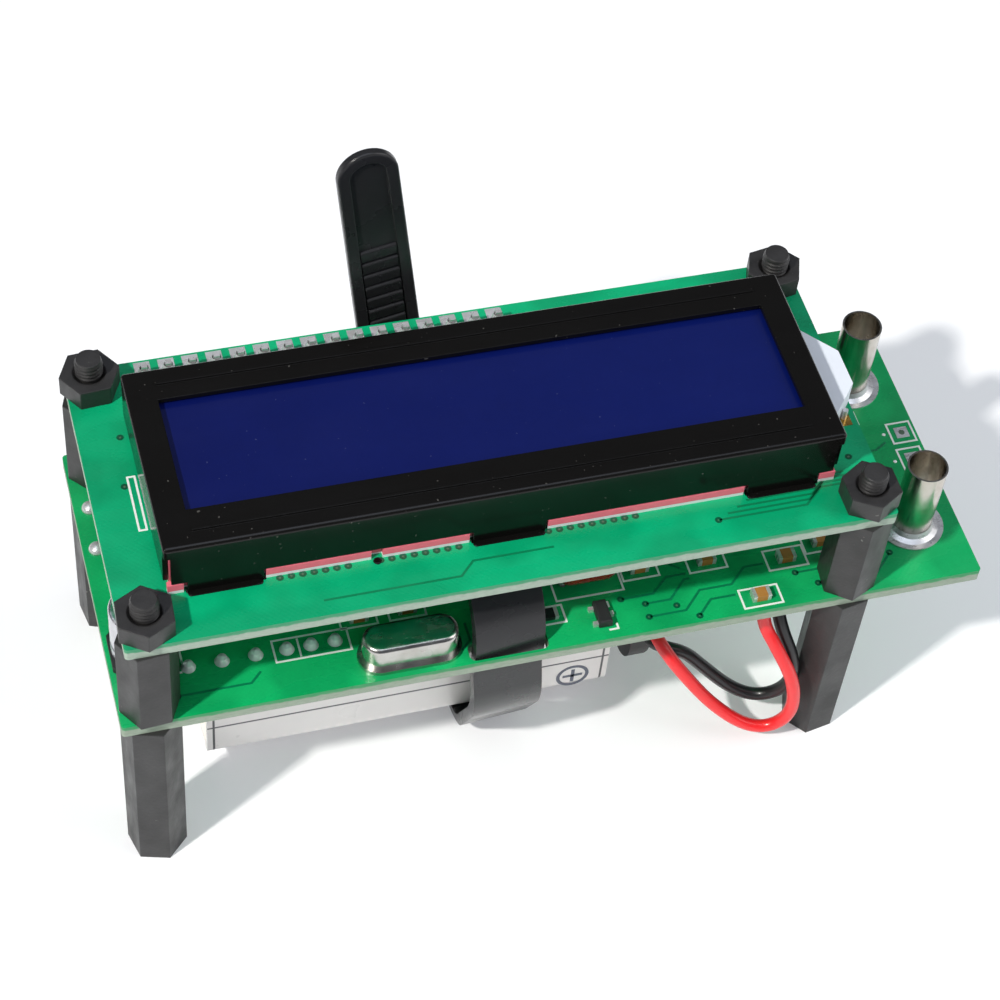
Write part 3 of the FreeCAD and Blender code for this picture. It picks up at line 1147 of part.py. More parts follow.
def strap_head():
    """The strap's head: a rounded block with a slot for the tail and a pocket for the release pawl."""
    block = centred_box(0, HEAD_FRONT + HEAD_DEPTH / 2, HEAD_WIDTH, HEAD_DEPTH, HEAD_BOTTOM, HEAD_TOP)
    block = block.makeFillet(HEAD_ROUND, edges_along(block, 2))
    slot = centred_box(0, TAIL_Y, STRAP_WIDTH + 2 * STRAP_CLEARANCE, STRAP_THICKNESS + 2 * STRAP_CLEARANCE,
                       HEAD_BOTTOM, HEAD_TOP)
    pocket_front, pocket_back, _ = pawl_pocket()
    pocket = box(-PAWL_WIDTH / 2 - PAWL_GAP, PAWL_WIDTH / 2 + PAWL_GAP, pocket_front, pocket_back,
                 BAND_LEVEL + STRAP_THICKNESS, HEAD_TOP)
    return block.cut([slot, pocket])


def placed_on_strap(shape):
    """Turn a piece that was drawn square to the strap to the strap's own skew."""
    shape.rotate(Vector(0, STRAP_FRONT_SLOT_Y, 0), Vector(0, 0, 1), STRAP_SKEW_DEG)
    shape.translate(Vector(STRAP_X, 0, 0))
    return shape


def battery_strap():
    """The strap with its head and tail, one moulding."""
    over = band(*strap_over_route(), STRAP_THICKNESS, STRAP_WIDTH)
    under = drifted(band(*strap_under_route(), STRAP_THICKNESS, STRAP_WIDTH))
    return placed_on_strap(over.fuse([under, strap_head(), strap_tail()]).removeSplitter())


def pawl_axis():
    """The middle of the pawl's barrel, as y and z before the strap's skew."""
    _, _, pawl_front = pawl_pocket()
    floor = BAND_LEVEL + STRAP_THICKNESS
    return pawl_front + PAWL_THICKNESS / 2, floor + PAWL_GAP + PAWL_BARREL_RADIUS


def strap_pawl():
    """The release pawl: a barrel in the head's pocket, a finger with a tooth and a thumb tab on top."""
    axis_y, axis_z = pawl_axis()
    _, _, front = pawl_pocket()
    back = front + PAWL_THICKNESS
    half = PAWL_WIDTH / 2
    barrel = Part.makeCylinder(PAWL_BARREL_RADIUS, PAWL_WIDTH, Vector(-half, axis_y, axis_z), Vector(1, 0, 0))
    finger = box(-half, half, front, back, axis_z, HEAD_TOP + PAWL_TAB_RISE)
    tooth = [Vector(-half, back, HEAD_TOP - 3 * PAWL_TOOTH),
             Vector(-half, back + PAWL_TOOTH, HEAD_TOP - PAWL_TOOTH),
             Vector(-half, back, HEAD_TOP - PAWL_TOOTH)]
    wedge = Part.Face(Part.makePolygon(tooth + tooth[:1])).extrude(Vector(PAWL_WIDTH, 0, 0))
    finger = finger.makeFillet(PAWL_TOOTH, edges_along_top(finger))
    return placed_on_strap(barrel.fuse([finger, wedge]).removeSplitter())


def edges_along_top(shape):
    """The two long edges on top of the pawl's finger."""
    top = shape.BoundBox.ZMax
    return [e for e in edges_along(shape, 0) if abs(e.BoundBox.ZMin - top) < 1e-4]


def save(name, shape):
    """Write one piece."""
    shape.exportStep(os.path.join("parts", name + ".step"))


def main():
    """Build every piece and write it."""
    os.makedirs("parts", exist_ok=True)
    for corner in CORNERS:
        save("leg_" + corner, leg(corner))
        save("spacer_" + corner, spacer(corner))
    for place, (x, y) in terminal_places().items():
        save("test_terminal_" + place, test_terminal(x, y))
    save("diffuser_sheet", cell_plate(FILM_LENGTH, FILM_DEPTH, DIFFUSER_BOTTOM, DIFFUSER_THICKNESS))
    save("rear_polariser", cell_plate(FILM_LENGTH, FILM_DEPTH, REAR_FILM_BOTTOM, FILM_THICKNESS))
    save("rear_glass", cell_plate(GLASS_LENGTH, REAR_GLASS_DEPTH, REAR_GLASS_BOTTOM, GLASS_THICKNESS))
    save("front_glass", cell_plate(GLASS_LENGTH, front_glass_depth(), FRONT_GLASS_BOTTOM, GLASS_THICKNESS))
    save("front_polariser", cell_plate(FILM_LENGTH, FILM_DEPTH, FRONT_FILM_BOTTOM, FILM_THICKNESS))
    pieces = (top_nuts, display_board, main_board, display_bezel, contact_strips, strip_insulators,
              backlight_panel,
              backlight_pins, controller_drops, header_pins, header_strip, header_socket, socket_tails,
              header_solder, terminal_pads, terminal_solder, crystal_base, crystal_can, film_capacitor,
              film_capacitor_leads, electrolytic_base, electrolytic_can, microcontroller,
              microcontroller_leads,
              voltage_regulator, regulator_leads, switching_diode, diode_leads, chip_end_caps, chip_resistors,
              chip_capacitors, front_solder_joints, power_switch_body, power_switch_slider, power_switch_pins,
              link_header, link_pins, battery_case, battery_terminals, snap_contacts, battery_snap_cap,
              battery_strap, strap_pawl, red_lead, black_lead)
    for piece in pieces:
        save(piece.__name__, piece())


main()
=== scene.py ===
"""Dresses the component tester: finishes, board print, threads, battery leads, floor, light and camera."""
import logging
import math
from dataclasses import dataclass, field
from enum import Enum

import bpy
import numpy as np
from mathutils import Matrix, Vector


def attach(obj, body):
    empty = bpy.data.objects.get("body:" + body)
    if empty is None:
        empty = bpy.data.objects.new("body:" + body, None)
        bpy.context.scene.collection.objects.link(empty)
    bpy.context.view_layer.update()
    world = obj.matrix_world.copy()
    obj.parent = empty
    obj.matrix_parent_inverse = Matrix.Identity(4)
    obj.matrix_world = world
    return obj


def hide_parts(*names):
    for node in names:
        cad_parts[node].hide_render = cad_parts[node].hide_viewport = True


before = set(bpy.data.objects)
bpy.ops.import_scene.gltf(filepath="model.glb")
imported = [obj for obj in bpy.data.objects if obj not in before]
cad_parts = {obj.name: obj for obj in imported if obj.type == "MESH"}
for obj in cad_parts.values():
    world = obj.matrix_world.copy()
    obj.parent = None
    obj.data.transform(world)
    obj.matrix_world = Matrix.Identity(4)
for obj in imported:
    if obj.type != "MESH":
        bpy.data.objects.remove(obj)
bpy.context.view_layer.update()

LOG = logging.getLogger("component_tester")
MM = 0.001
BODY = "frame"
Rgb = tuple[float, float, float]
Point2 = tuple[float, float]
Point3 = tuple[float, float, float]
Span = tuple[float, float]
Arrays = tuple[np.ndarray, np.ndarray]
Sockets = dict[str, bpy.types.NodeSocket]

FULL_TURN = 2 * math.pi
DOME_ROWS = 9

# The curve of display colours: a straight toe, and a power curve above it.
DISPLAY_LEVELS = 255.0
TOE_END = 0.04045
TOE_SLOPE = 12.92
CURVE_OFFSET = 0.055
CURVE_POWER = 2.4


def linear(rgb: Rgb) -> tuple[float, float, float, float]:
    """Turns display colour values into the linear ones that shaders take.

    Args:
        rgb: red, green and blue from 0 to 255.

    Returns:
        Linear red, green, blue and full alpha.
    """
    scaled = np.asarray(rgb, float) / DISPLAY_LEVELS
    curved = ((scaled + CURVE_OFFSET) / (1.0 + CURVE_OFFSET)) ** CURVE_POWER
    values = np.where(scaled <= TOE_END, scaled / TOE_SLOPE, curved)
    return (*(float(value) for value in values), 1.0)


class Graph:
    """Short ways to add and join the nodes of one shader tree."""

    # Places of a Mix node's colour sockets, which share their names with its number and vector ones.
    colour_inputs = (6, 7)
    colour_output = 2

    def __init__(self, tree: bpy.types.NodeTree) -> None:
        """Keeps the tree that the nodes go into."""
        self.tree = tree

    def add(self, kind: str, **settings: object) -> bpy.types.Node:
        """Adds a node.

        Args:
            kind: the node's type name.
            settings: properties to set on it.

        Returns:
            The new node.
        """
        node = self.tree.nodes.new(kind)
        for name, value in settings.items():
            setattr(node, name, value)
        return node

    def put(self, socket: bpy.types.NodeSocket, value: object) -> None:
        """Links an output to a socket, or sets a plain value on it.

        Args:
            socket: the input to feed.
            value: another node's output, or a number, vector or colour.
        """
        if isinstance(value, bpy.types.NodeSocket):
            self.tree.links.new(value, socket)
        else:
            socket.default_value = value

    def feed(self, node: bpy.types.Node, inputs: dict[str, object]) -> None:
        """Puts outputs or plain values on a node's inputs, by name."""
        for name, value in inputs.items():
            self.put(node.inputs[name], value)

    def fill(self, node: bpy.types.Node, *values: object) -> bpy.types.NodeSocket:
        """Puts outputs or plain values on a node's first inputs.

        Args:
            node: the node to feed.
            values: what its inputs take, in their order.

        Returns:
            The node's first output.
        """
        for socket, value in zip(node.inputs, values):
            self.put(socket, value)
        return node.outputs[0]

    def math(self, operation: str, first: object, second: object = 0.0) -> bpy.types.NodeSocket:
        """Adds a Math node and returns its result."""
        return self.fill(self.add("ShaderNodeMath", operation=operation), first, second)

    def scale(self, vector: object, factors: Point3) -> bpy.types.NodeSocket:
        """Adds a Vector Math node and returns the vector with its x, y and z multiplied."""
        return self.fill(self.add("ShaderNodeVectorMath", operation="MULTIPLY"), vector, factors)

    def mix(self, factor: object, first: object, second: object, blend: str = "MIX") -> bpy.types.NodeSocket:
        """Mixes two colours.

        Args:
            factor: how much of the second colour.
            first: colour at factor 0.
            second: colour at factor 1.
            blend: the kind of mix.

        Returns:
            The mixed colour.
        """
        node = self.add("ShaderNodeMix", data_type="RGBA", blend_type=blend)
        self.put(node.inputs["Factor"], factor)
        for index, colour in zip(self.colour_inputs, (first, second)):
            self.put(node.inputs[index], colour)
        return node.outputs[self.colour_output]

    def noise(self, vector: object, scale: object, detail: float) -> bpy.types.NodeSocket:
        """Adds a Noise Texture.

        Args:
            vector: the point on the surface.
            scale: patches a metre.
            detail: number of finer layers on top.

        Returns:
            Its value, about 0.5 on average.
        """
        node = self.add("ShaderNodeTexNoise")
        self.feed(node, {"Vector": vector, "Scale": scale, "Detail": detail})
        return node.outputs["Fac"]

    def remap(self, value: object, span: Span, to_low: object, to_high: object) -> bpy.types.NodeSocket:
        """Carries a value from one range to another, held at the ends.

        Args:
            value: the value to carry.
            span: start and end of the first range.
            to_low: start of the second range.
            to_high: end of the second range.

        Returns:
            The carried value.
        """
        return self.fill(self.add("ShaderNodeMapRange"), value, *span, to_low, to_high)

    def object_point(self) -> bpy.types.NodeSocket:
        """Returns the point on the surface in the object's own metres."""
        return self.add("ShaderNodeTexCoord").outputs["Object"]

    def split(self, vector: object) -> list[bpy.types.NodeSocket]:
        """Returns the x, y and z of a vector."""
        return list(self.fill(self.add("ShaderNodeSeparateXYZ"), vector).node.outputs)

    def bump(self, height: object, distance: float, rounding: float = 0.0) -> bpy.types.NodeSocket:
        """Turns a height into a normal.

        Args:
            height: the height's value.
            distance: how far a height of 1 stands out, in metres.
            rounding: radius that the edges catch light with, in metres.

        Returns:
            The bent normal.
        """
        node = self.add("ShaderNodeBump")
        if rounding:
            edge = self.add("ShaderNodeBevel")
            edge.inputs["Radius"].default_value = rounding
            self.put(node.inputs["Normal"], edge.outputs["Normal"])
        self.feed(node, {"Strength": 1.0, "Distance": distance, "Height": height})
        return node.outputs["Normal"]


class Effect(Enum):
    """The surface effects that several finishes share, each one shader node group."""

    MOTTLE = "mottle"
    GRAIN = "grain"
    HANDLING = "handling"
    WEAVE = "weave"
    DRAWN = "drawn_lines"
    DUST = "dust"


class Effects:
    """Builds each shared node group once and places it in materials."""

    made: dict[Effect, bpy.types.NodeTree] = {}
    socket_kinds = {"Vector": "NodeSocketVector", "Colour": "NodeSocketColor"}
    number_kind = "NodeSocketFloat"
    fine_patch_ratio = 7.0
    broad_patch_share = 0.65
    fine_patch_share = 0.35
    slow_grain_ratio = 0.18
    fine_grain_share = 0.7
    slow_grain_share = 0.3
    smear_stretch = (1.0, 2.6, 1.0)
    smear_span = (0.3, 0.72)
    drawn_stretch = (1.0, 1.0, 0.04)
    speck_span = (0.76, 0.82)

    @classmethod
    def start(cls, effect: Effect, inputs: tuple[str, ...],
              output: str) -> tuple[Graph, Sockets, bpy.types.NodeSocket]:
        """Begins a node group with its sockets, numbers unless their names say vector or colour.

        Args:
            effect: which effect it is.
            inputs: name of each input.
            output: name of the output.

        Returns:
            The group's graph, its inputs by name and the socket that takes the result.
        """
        tree = bpy.data.node_groups.new(effect.value, "ShaderNodeTree")
        for name, way in (*((name, "INPUT") for name in inputs), (output, "OUTPUT")):
            kind = cls.socket_kinds.get(name, cls.number_kind)
            tree.interface.new_socket(name, in_out=way, socket_type=kind)
        cls.made[effect] = tree
        graph = Graph(tree)
        sources = {socket.name: socket for socket in graph.add("NodeGroupInput").outputs if socket.name}
        return graph, sources, graph.add("NodeGroupOutput").inputs[0]

    @staticmethod
    def blend(graph: Graph, first: object, first_share: float, second: object,
              second_share: float) -> bpy.types.NodeSocket:
        """Adds two values by their shares."""
        return graph.math("ADD", graph.math("MULTIPLY", first, first_share),
                          graph.math("MULTIPLY", second, second_share))

    @classmethod
    def mottle(cls) -> None:
        """A colour that grows lighter and darker in soft patches, a little finer ones on top."""
        graph, get, out = cls.start(Effect.MOTTLE, ("Vector", "Colour", "Scale", "Amount"), "Colour")
        broad = graph.noise(get["Vector"], get["Scale"], detail=2.0)
        finer = graph.math("MULTIPLY", get["Scale"], cls.fine_patch_ratio)
        fine = graph.noise(get["Vector"], finer, detail=2.0)
        both = cls.blend(graph, broad, cls.broad_patch_share, fine, cls.fine_patch_share)
        swing = graph.math("MULTIPLY", graph.math("SUBTRACT", both, 0.5), get["Amount"])
        level = graph.math("ADD", swing, 1.0)
        graph.put(out, graph.mix(1.0, get["Colour"], level, "MULTIPLY"))

    @classmethod
    def grain(cls) -> None:
        """A height for moulded or sprayed surfaces: fine noise over a slower wave."""
        graph, get, out = cls.start(Effect.GRAIN, ("Vector", "Scale"), "Height")
        fine = graph.noise(get["Vector"], get["Scale"], detail=4.0)
        broader = graph.math("MULTIPLY", get["Scale"], cls.slow_grain_ratio)
        slow = graph.noise(get["Vector"], broader, detail=2.0)
        graph.put(out, cls.blend(graph, fine, cls.fine_grain_share, slow, cls.slow_grain_share))

    @classmethod
    def handling(cls) -> None:
        """A roughness with smears, between two levels."""
        graph, get, out = cls.start(Effect.HANDLING, ("Vector", "Scale", "Smooth", "Rough"), "Roughness")
        smear = graph.noise(graph.scale(get["Vector"], cls.smear_stretch), get["Scale"], detail=5.0)
        graph.put(out, graph.remap(smear, cls.smear_span, get["Smooth"], get["Rough"]))

    @classmethod
    def weave(cls) -> None:
        """Glass cloth under a clear mask: crossed ripples of one pitch, in number of threads a metre."""
        graph, get, out = cls.start(Effect.WEAVE, ("Vector", "Threads"), "Height")
        x, y, _ = graph.split(get["Vector"])
        turn = graph.math("MULTIPLY", get["Threads"], FULL_TURN)
        across = graph.math("SINE", graph.math("MULTIPLY", x, turn))
        along = graph.math("SINE", graph.math("MULTIPLY", y, turn))
        product = graph.math("MULTIPLY", across, along)
        graph.put(out, graph.math("ADD", graph.math("MULTIPLY", product, 0.5), 0.5))

    @classmethod
    def drawn_lines(cls) -> None:
        """Fine lines along Z, as drawing or turning leaves them."""
        graph, get, out = cls.start(Effect.DRAWN, ("Vector", "Scale"), "Height")
        graph.put(out, graph.noise(graph.scale(get["Vector"], cls.drawn_stretch), get["Scale"], detail=3.0))

    @classmethod
    def dust(cls) -> None:
        """A mask of stray specks: the few highest points of a fine noise."""
        graph, get, out = cls.start(Effect.DUST, ("Vector", "Scale", "Amount"), "Mask")
        fine = graph.noise(get["Vector"], get["Scale"], detail=1.0)
        graph.put(out, graph.remap(fine, cls.speck_span, 0.0, get["Amount"]))

    @classmethod
    def place(cls, graph: Graph, effect: Effect, **inputs: object) -> bpy.types.NodeSocket:
        """Puts a shared effect into a material.

        Args:
            graph: the material's graph.
            effect: which effect.
            inputs: values or outputs for its sockets, by name.

        Returns:
            The effect's output.
        """
        if effect not in cls.made:
            getattr(cls, effect.value)()
        node = graph.add("ShaderNodeGroup", node_tree=cls.made[effect])
        graph.feed(node, inputs)
        return node.outputs[0]


def new_material(name: str) -> tuple[bpy.types.Material, Graph, bpy.types.Node]:
    """Starts a node material.

    Args:
        name: the finish's name.

    Returns:
        The material, its graph and its Principled BSDF.
    """
    material = bpy.data.materials.new(name)
    material.use_nodes = True
    graph = Graph(material.node_tree)
    return material, graph, material.node_tree.nodes["Principled BSDF"]


class Finish:
    """What the finishes share: soft patches in the colour and smears in the roughness."""

    mottle: float
    mottle_scale: float
    smear_scale: float
    smooth: float
    rough: float

    def mottled(self, graph: Graph, point: bpy.types.NodeSocket, colour: object) -> bpy.types.NodeSocket:
        """Returns a colour with the finish's soft patches."""
        return Effects.place(graph, Effect.MOTTLE, Vector=point, Colour=colour, Scale=self.mottle_scale,
                             Amount=self.mottle)

    def smeared(self, graph: Graph, point: bpy.types.NodeSocket) -> bpy.types.NodeSocket:
        """Returns a roughness that goes between the finish's smooth and rough levels."""
        return Effects.place(graph, Effect.HANDLING, Vector=point, Scale=self.smear_scale, Smooth=self.smooth,
                             Rough=self.rough)


@dataclass(frozen=True)
class MouldedFinish(Finish):
    """Plastic, rubber, resin or paint: a mottled colour, a fine grain and smears of handling."""

    name: str
    colour: Rgb
    smooth: float = 0.4
    rough: float = 0.6
    mottle: float = 0.3
    mottle_size: float = 3.0
    grain_size: float = 0.25
    grain_depth: float = 0.01
    coat: float = 0.0
    specular: float = 0.5
    dust: float = 0.0
    rounding: float = 0.0
    smear_ratio: float = 0.4
    speck_scale: float = 1900.0
    speck_colour: Rgb = (150, 148, 142)
    coat_roughness: float = 0.12

    @property
    def mottle_scale(self) -> float:
        """Patches a metre."""
        return 1.0 / (self.mottle_size * MM)

    @property
    def smear_scale(self) -> float:
        """Smears a metre."""
        return self.smear_ratio * self.mottle_scale

    def material(self) -> bpy.types.Material:
        """Builds the material.

        Returns:
            The material.
        """
        material, graph, shader = new_material(self.name)
        point = graph.object_point()
        colour = self.mottled(graph, point, linear(self.colour))
        grain = Effects.place(graph, Effect.GRAIN, Vector=point, Scale=1.0 / (self.grain_size * MM))
        if self.dust:
            specks = Effects.place(graph, Effect.DUST, Vector=point, Scale=self.speck_scale, Amount=self.dust)
            colour = graph.mix(specks, colour, linear(self.speck_colour))
        normal = graph.bump(grain, self.grain_depth * MM, self.rounding * MM)
        graph.feed(shader, {"Base Color": colour, "Roughness": self.smeared(graph, point), "Normal": normal,
                            "Coat Weight": self.coat, "Coat Roughness": self.coat_roughness,
                            "Specular IOR Level": self.specular})
        return material


@dataclass(frozen=True)
class MetalFinish(Finish):
    """Plated, tinned or drawn metal: fine lines, soft tarnish and smears."""

    name: str
    colour: Rgb
    tarnish: Rgb
    tarnish_share: float = 0.35
    smooth: float = 0.15
    rough: float = 0.35
    line_size: float = 0.12
    line_depth: float = 0.004
    metallic: float = 1.0
    tarnish_scale: float = 420.0
    tarnish_span: Span = (0.42, 0.7)
    smear_scale: float = 500.0

    def material(self) -> bpy.types.Material:
        """Builds the material.

        Returns:
            The material.
        """
        material, graph, shader = new_material(self.name)
        point = graph.object_point()
        cloud = graph.noise(point, self.tarnish_scale, detail=4.0)
        patches = graph.remap(cloud, self.tarnish_span, 0.0, self.tarnish_share)
        colour = graph.mix(patches, linear(self.colour), linear(self.tarnish))
        lines = Effects.place(graph, Effect.DRAWN, Vector=point, Scale=1.0 / (self.line_size * MM))
        graph.feed(shader, {"Base Color": colour, "Roughness": self.smeared(graph, point),
                            "Normal": graph.bump(lines, self.line_depth * MM), "Metallic": self.metallic})
        return material


@dataclass(frozen=True)
class BoardFinish(Finish):
    """Circuit board: glossy green mask over glass cloth on both faces, bare laminate on the cut edges.

    The mask is deeper over patches of poured copper, and laps over the top of the cut edges in a ragged rim.
    """

    name: str
    mask: Rgb
    deep: Rgb
    edge: Rgb
    bottom: float
    thickness: float = 1.6
    threads: float = 1700.0
    cloth_share: float = 0.12
    cloth_depth: float = 0.006
    face_span: Span = (0.4, 0.6)
    pour_scale: float = 130.0
    pour_span: Span = (0.44, 0.56)
    pour_share: float = 0.6
    mottle_scale: float = 260.0
    mottle: float = 0.3
    edge_stretch: Point3 = (1.0, 1.0, 5.0)
    edge_scale: float = 1500.0
    edge_mottle: float = 0.8
    edge_rough: float = 0.75
    rim_scale: float = 700.0
    rim_wander: float = 0.35
    rim_span: Span = (0.58, 0.72)
    rim_share: float = 0.85
    smear_scale: float = 160.0
    smooth: float = 0.2
    rough: float = 0.36

    def edge_colour(self, graph: Graph, point: bpy.types.NodeSocket) -> bpy.types.NodeSocket:
        """Colours the cut edges: streaked laminate under a ragged rim of mask.

        Args:
            graph: the material's graph.
            point: the point on the board.

        Returns:
            The edges' colour.
        """
        laminate = Effects.place(graph, Effect.MOTTLE, Vector=graph.scale(point, self.edge_stretch),
                                 Colour=linear(self.edge), Scale=self.edge_scale, Amount=self.edge_mottle)
        _, _, height = graph.split(point)
        level = graph.math("DIVIDE", graph.math("SUBTRACT", height, self.bottom * MM), self.thickness * MM)
        swing = graph.math("SUBTRACT", graph.noise(point, self.rim_scale, detail=3.0), 0.5)
        ragged = graph.math("ADD", level, graph.math("MULTIPLY", swing, self.rim_wander))
        rim = graph.remap(ragged, self.rim_span, 0.0, self.rim_share)
        return graph.mix(rim, laminate, linear(self.deep))

    def material(self) -> bpy.types.Material:
        """Builds the material.

        Returns:
            The material.
        """
        material, graph, shader = new_material(self.name)
        coordinate = graph.add("ShaderNodeTexCoord")
        point = coordinate.outputs["Object"]
        _, _, up = graph.split(coordinate.outputs["Normal"])
        face = graph.remap(graph.math("ABSOLUTE", up), self.face_span, 0.0, 1.0)
        pour = graph.remap(graph.noise(point, self.pour_scale, detail=1.0), self.pour_span, 0.0, 1.0)
        cloth = Effects.place(graph, Effect.WEAVE, Vector=point, Threads=self.threads)
        mask = linear(self.mask)
        for effect, share in ((pour, self.pour_share), (cloth, self.cloth_share)):
            mask = graph.mix(graph.math("MULTIPLY", effect, share), mask, linear(self.deep))
        colour = graph.mix(face, self.edge_colour(graph, point), self.mottled(graph, point, mask))
        rough = graph.remap(face, (0.0, 1.0), self.edge_rough, self.smeared(graph, point))
        graph.feed(shader, {"Base Color": colour, "Roughness": rough,
                            "Normal": graph.bump(cloth, self.cloth_depth * MM)})
        return material


@dataclass(frozen=True)
class ScreenFinish(Finish):
    """The switched-off display: deep blue film with a painted sheen that makes it paler to the right, faint
    cells and dust.
    """

    name: str
    colour: Rgb
    pale: Rgb
    columns: int = 16
    rows: int = 2
    cell_width: float = 3.55
    cell_height: float = 5.95
    centre_x: float = 0.1
    centre_y: float = -0.6
    cell_gap: float = 0.07
    cell_share: float = 0.02
    painted_sheen_reach: float = 32.0
    painted_sheen_left: float = 0.1
    painted_sheen_share: float = 0.6
    mottle_scale: float = 150.0
    mottle: float = 0.25
    speck_scale: float = 2600.0
    speck_colour: Rgb = (120, 130, 170)
    dust: float = 0.2
    smear_scale: float = 90.0
    smooth: float = 0.12
    rough: float = 0.22

    def cell_mask(self, graph: Graph, point: bpy.types.NodeSocket) -> bpy.types.NodeSocket:
        """Marks the character cells: the whole pattern repeats every cell, with a thin gap between cells.

        Args:
            graph: the material's graph.
            point: the point on the film.

        Returns:
            1 inside a cell, 0 in the gaps and outside the pattern.
        """
        x, y, _ = graph.split(point)
        mask: object = 1.0
        for value, centre, size, count in ((x, self.centre_x, self.cell_width, self.columns),
                                           (y, self.centre_y, self.cell_height, self.rows)):
            start = (centre - size * count / 2) * MM
            along = graph.math("DIVIDE", graph.math("SUBTRACT", value, start), size * MM)
            part = graph.math("FRACT", along)
            for place, low, high in ((along, 0.0, float(count)), (part, self.cell_gap, 1.0 - self.cell_gap)):
                mask = graph.math("MULTIPLY", mask, graph.math("GREATER_THAN", place, low))
                mask = graph.math("MULTIPLY", mask, graph.math("LESS_THAN", place, high))
        return mask

    def material(self) -> bpy.types.Material:
        """Builds the material.

        Returns:
            The material.
        """
        material, graph, shader = new_material(self.name)
        point = graph.object_point()
        x, _, _ = graph.split(point)
        # Painted sheen: the film is painted paler from left to right, as light falling on it makes it look.
        # The film itself is evenly blue.
        painted_sheen = graph.remap(x, (-self.painted_sheen_reach * MM, self.painted_sheen_reach * MM), self.painted_sheen_left, 1.0)
        painted_sheen_and_cells = Effects.blend(graph, painted_sheen, self.painted_sheen_share, self.cell_mask(graph, point), self.cell_share)
        blue = graph.mix(painted_sheen_and_cells, linear(self.colour), linear(self.pale))
        dust = Effects.place(graph, Effect.DUST, Vector=point, Scale=self.speck_scale, Amount=self.dust)
        colour = graph.mix(dust, self.mottled(graph, point, blue), linear(self.speck_colour))
        graph.feed(shader, {"Base Color": colour, "Roughness": self.smeared(graph, point)})
        return material


@dataclass(frozen=True)
class GlassFinish(Finish):
    """Clear plate glass with a faint tint and smears."""

    name: str
    colour: Rgb
    mottle_scale: float = 80.0
    mottle: float = 0.1
    smear_scale: float = 120.0
    smooth: float = 0.02
    rough: float = 0.08
    refraction: float = 1.5

    def material(self) -> bpy.types.Material:
        """Builds the material.

        Returns:
            The material.
        """
        material, graph, shader = new_material(self.name)
        point = graph.object_point()
        tint = self.mottled(graph, point, linear(self.colour))
        graph.feed(shader, {"Base Color": tint, "Roughness": self.smeared(graph, point),
                            "Transmission Weight": 1.0, "IOR": self.refraction})
        return material


@dataclass(frozen=True)
class JacketFinish(Finish):
    """The battery's plain jacket: off-white with thin rules along it and round it near both ends."""

    name: str
    colour: Rgb
    rule: Rgb
    rule_heights: tuple[float, ...]
    rule_width: float
    left: float
    right: float
    end_band: float
    rule_fade: Span = (0.4, 0.6)
    mottle_scale: float = 90.0
    mottle: float = 0.12
    smear_scale: float = 200.0
    smooth: float = 0.25
    rough: float = 0.45
    grain_scale: float = 1400.0
    grain_depth: float = 0.008
    coat: float = 0.3
    coat_roughness: float = 0.15

    def rule_mask(self, graph: Graph, along: bpy.types.NodeSocket, place: float) -> bpy.types.NodeSocket:
        """Marks one thin rule.

        Args:
            graph: the material's graph.
            along: the coordinate that the rule stands across.
            place: where on it the rule is, in millimetres.

        Returns:
            1 on the rule and 0 away from it, with a soft edge.
        """
        away = graph.math("ABSOLUTE", graph.math("SUBTRACT", along, place * MM))
        near, far = (share * self.rule_width * MM for share in self.rule_fade)
        return graph.remap(away, (near, far), 1.0, 0.0)

    def material(self) -> bpy.types.Material:
        """Builds the material.

        Returns:
            The material.
        """
        material, graph, shader = new_material(self.name)
        point = graph.object_point()
        x, _, z = graph.split(point)
        rules = [(z, height) for height in self.rule_heights]
        rules += [(x, self.left + self.end_band), (x, self.right - self.end_band)]
        ink: object = 0.0
        for along, place in rules:
            ink = graph.math("MAXIMUM", ink, self.rule_mask(graph, along, place))
        colour = graph.mix(ink, self.mottled(graph, point, linear(self.colour)), linear(self.rule))
        grain = Effects.place(graph, Effect.GRAIN, Vector=point, Scale=self.grain_scale)
        graph.feed(shader, {"Base Color": colour, "Roughness": self.smeared(graph, point),
                            "Normal": graph.bump(grain, self.grain_depth * MM), "Coat Weight": self.coat,
                            "Coat Roughness": self.coat_roughness})
        return material


def mesh_piece(name: str, parts: list[Arrays], finish: str, smooth: bool = False) -> bpy.types.Object:
    """Makes a piece that rides on the frame, with its place in its mesh.

    Args:
        name: the piece's name.
        parts: points in millimetres and faces of each of its surfaces.
        finish: the finish's name.
        smooth: whether its shading is smooth.

    Returns:
        The new piece.
    """
    vertices, faces = joined(parts)
    mesh = bpy.data.meshes.new(name)
    mesh.from_pydata((vertices * MM).tolist(), [], faces.tolist())
    mesh.polygons.foreach_set("use_smooth", np.full(len(mesh.polygons), smooth))
    mesh.materials.append(Palette.get(finish))
    mesh.validate()
    mesh.update()
    piece = bpy.data.objects.new(name, mesh)
    bpy.context.scene.collection.objects.link(piece)
    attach(piece, BODY)
    LOG.info("made %s with %d faces", name, len(mesh.polygons))
    return piece


def joined(parts: list[Arrays]) -> Arrays:
    """Joins several surfaces into one set of arrays.

    Args:
        parts: points and faces of each surface.

    Returns:
        All points, and all faces counted from the first point.
    """
    starts = np.cumsum([0] + [len(points) for points, _ in parts[:-1]])
    return (np.concatenate([points for points, _ in parts]),
            np.concatenate([faces + start for (_, faces), start in zip(parts, starts)]))


def wrapped_grid(rows: int, columns: int, closed_rows: bool = False) -> np.ndarray:
    """Faces of a grid of points whose columns close on themselves.

    Args:
        rows: number of rows of points.
        columns: number of points round each row.
        closed_rows: whether the last row joins the first.

    Returns:
        Four corner numbers a face.
    """
    row_count = rows if closed_rows else rows - 1
    row, column = np.meshgrid(np.arange(row_count), np.arange(columns), indexing="ij")
    after = (column + 1) % columns
    above = (row + 1) % rows
    low, high = row * columns, above * columns
    corners = (low + column, low + after, high + after, high + column)
    return np.stack([corner.ravel() for corner in corners], axis=1)


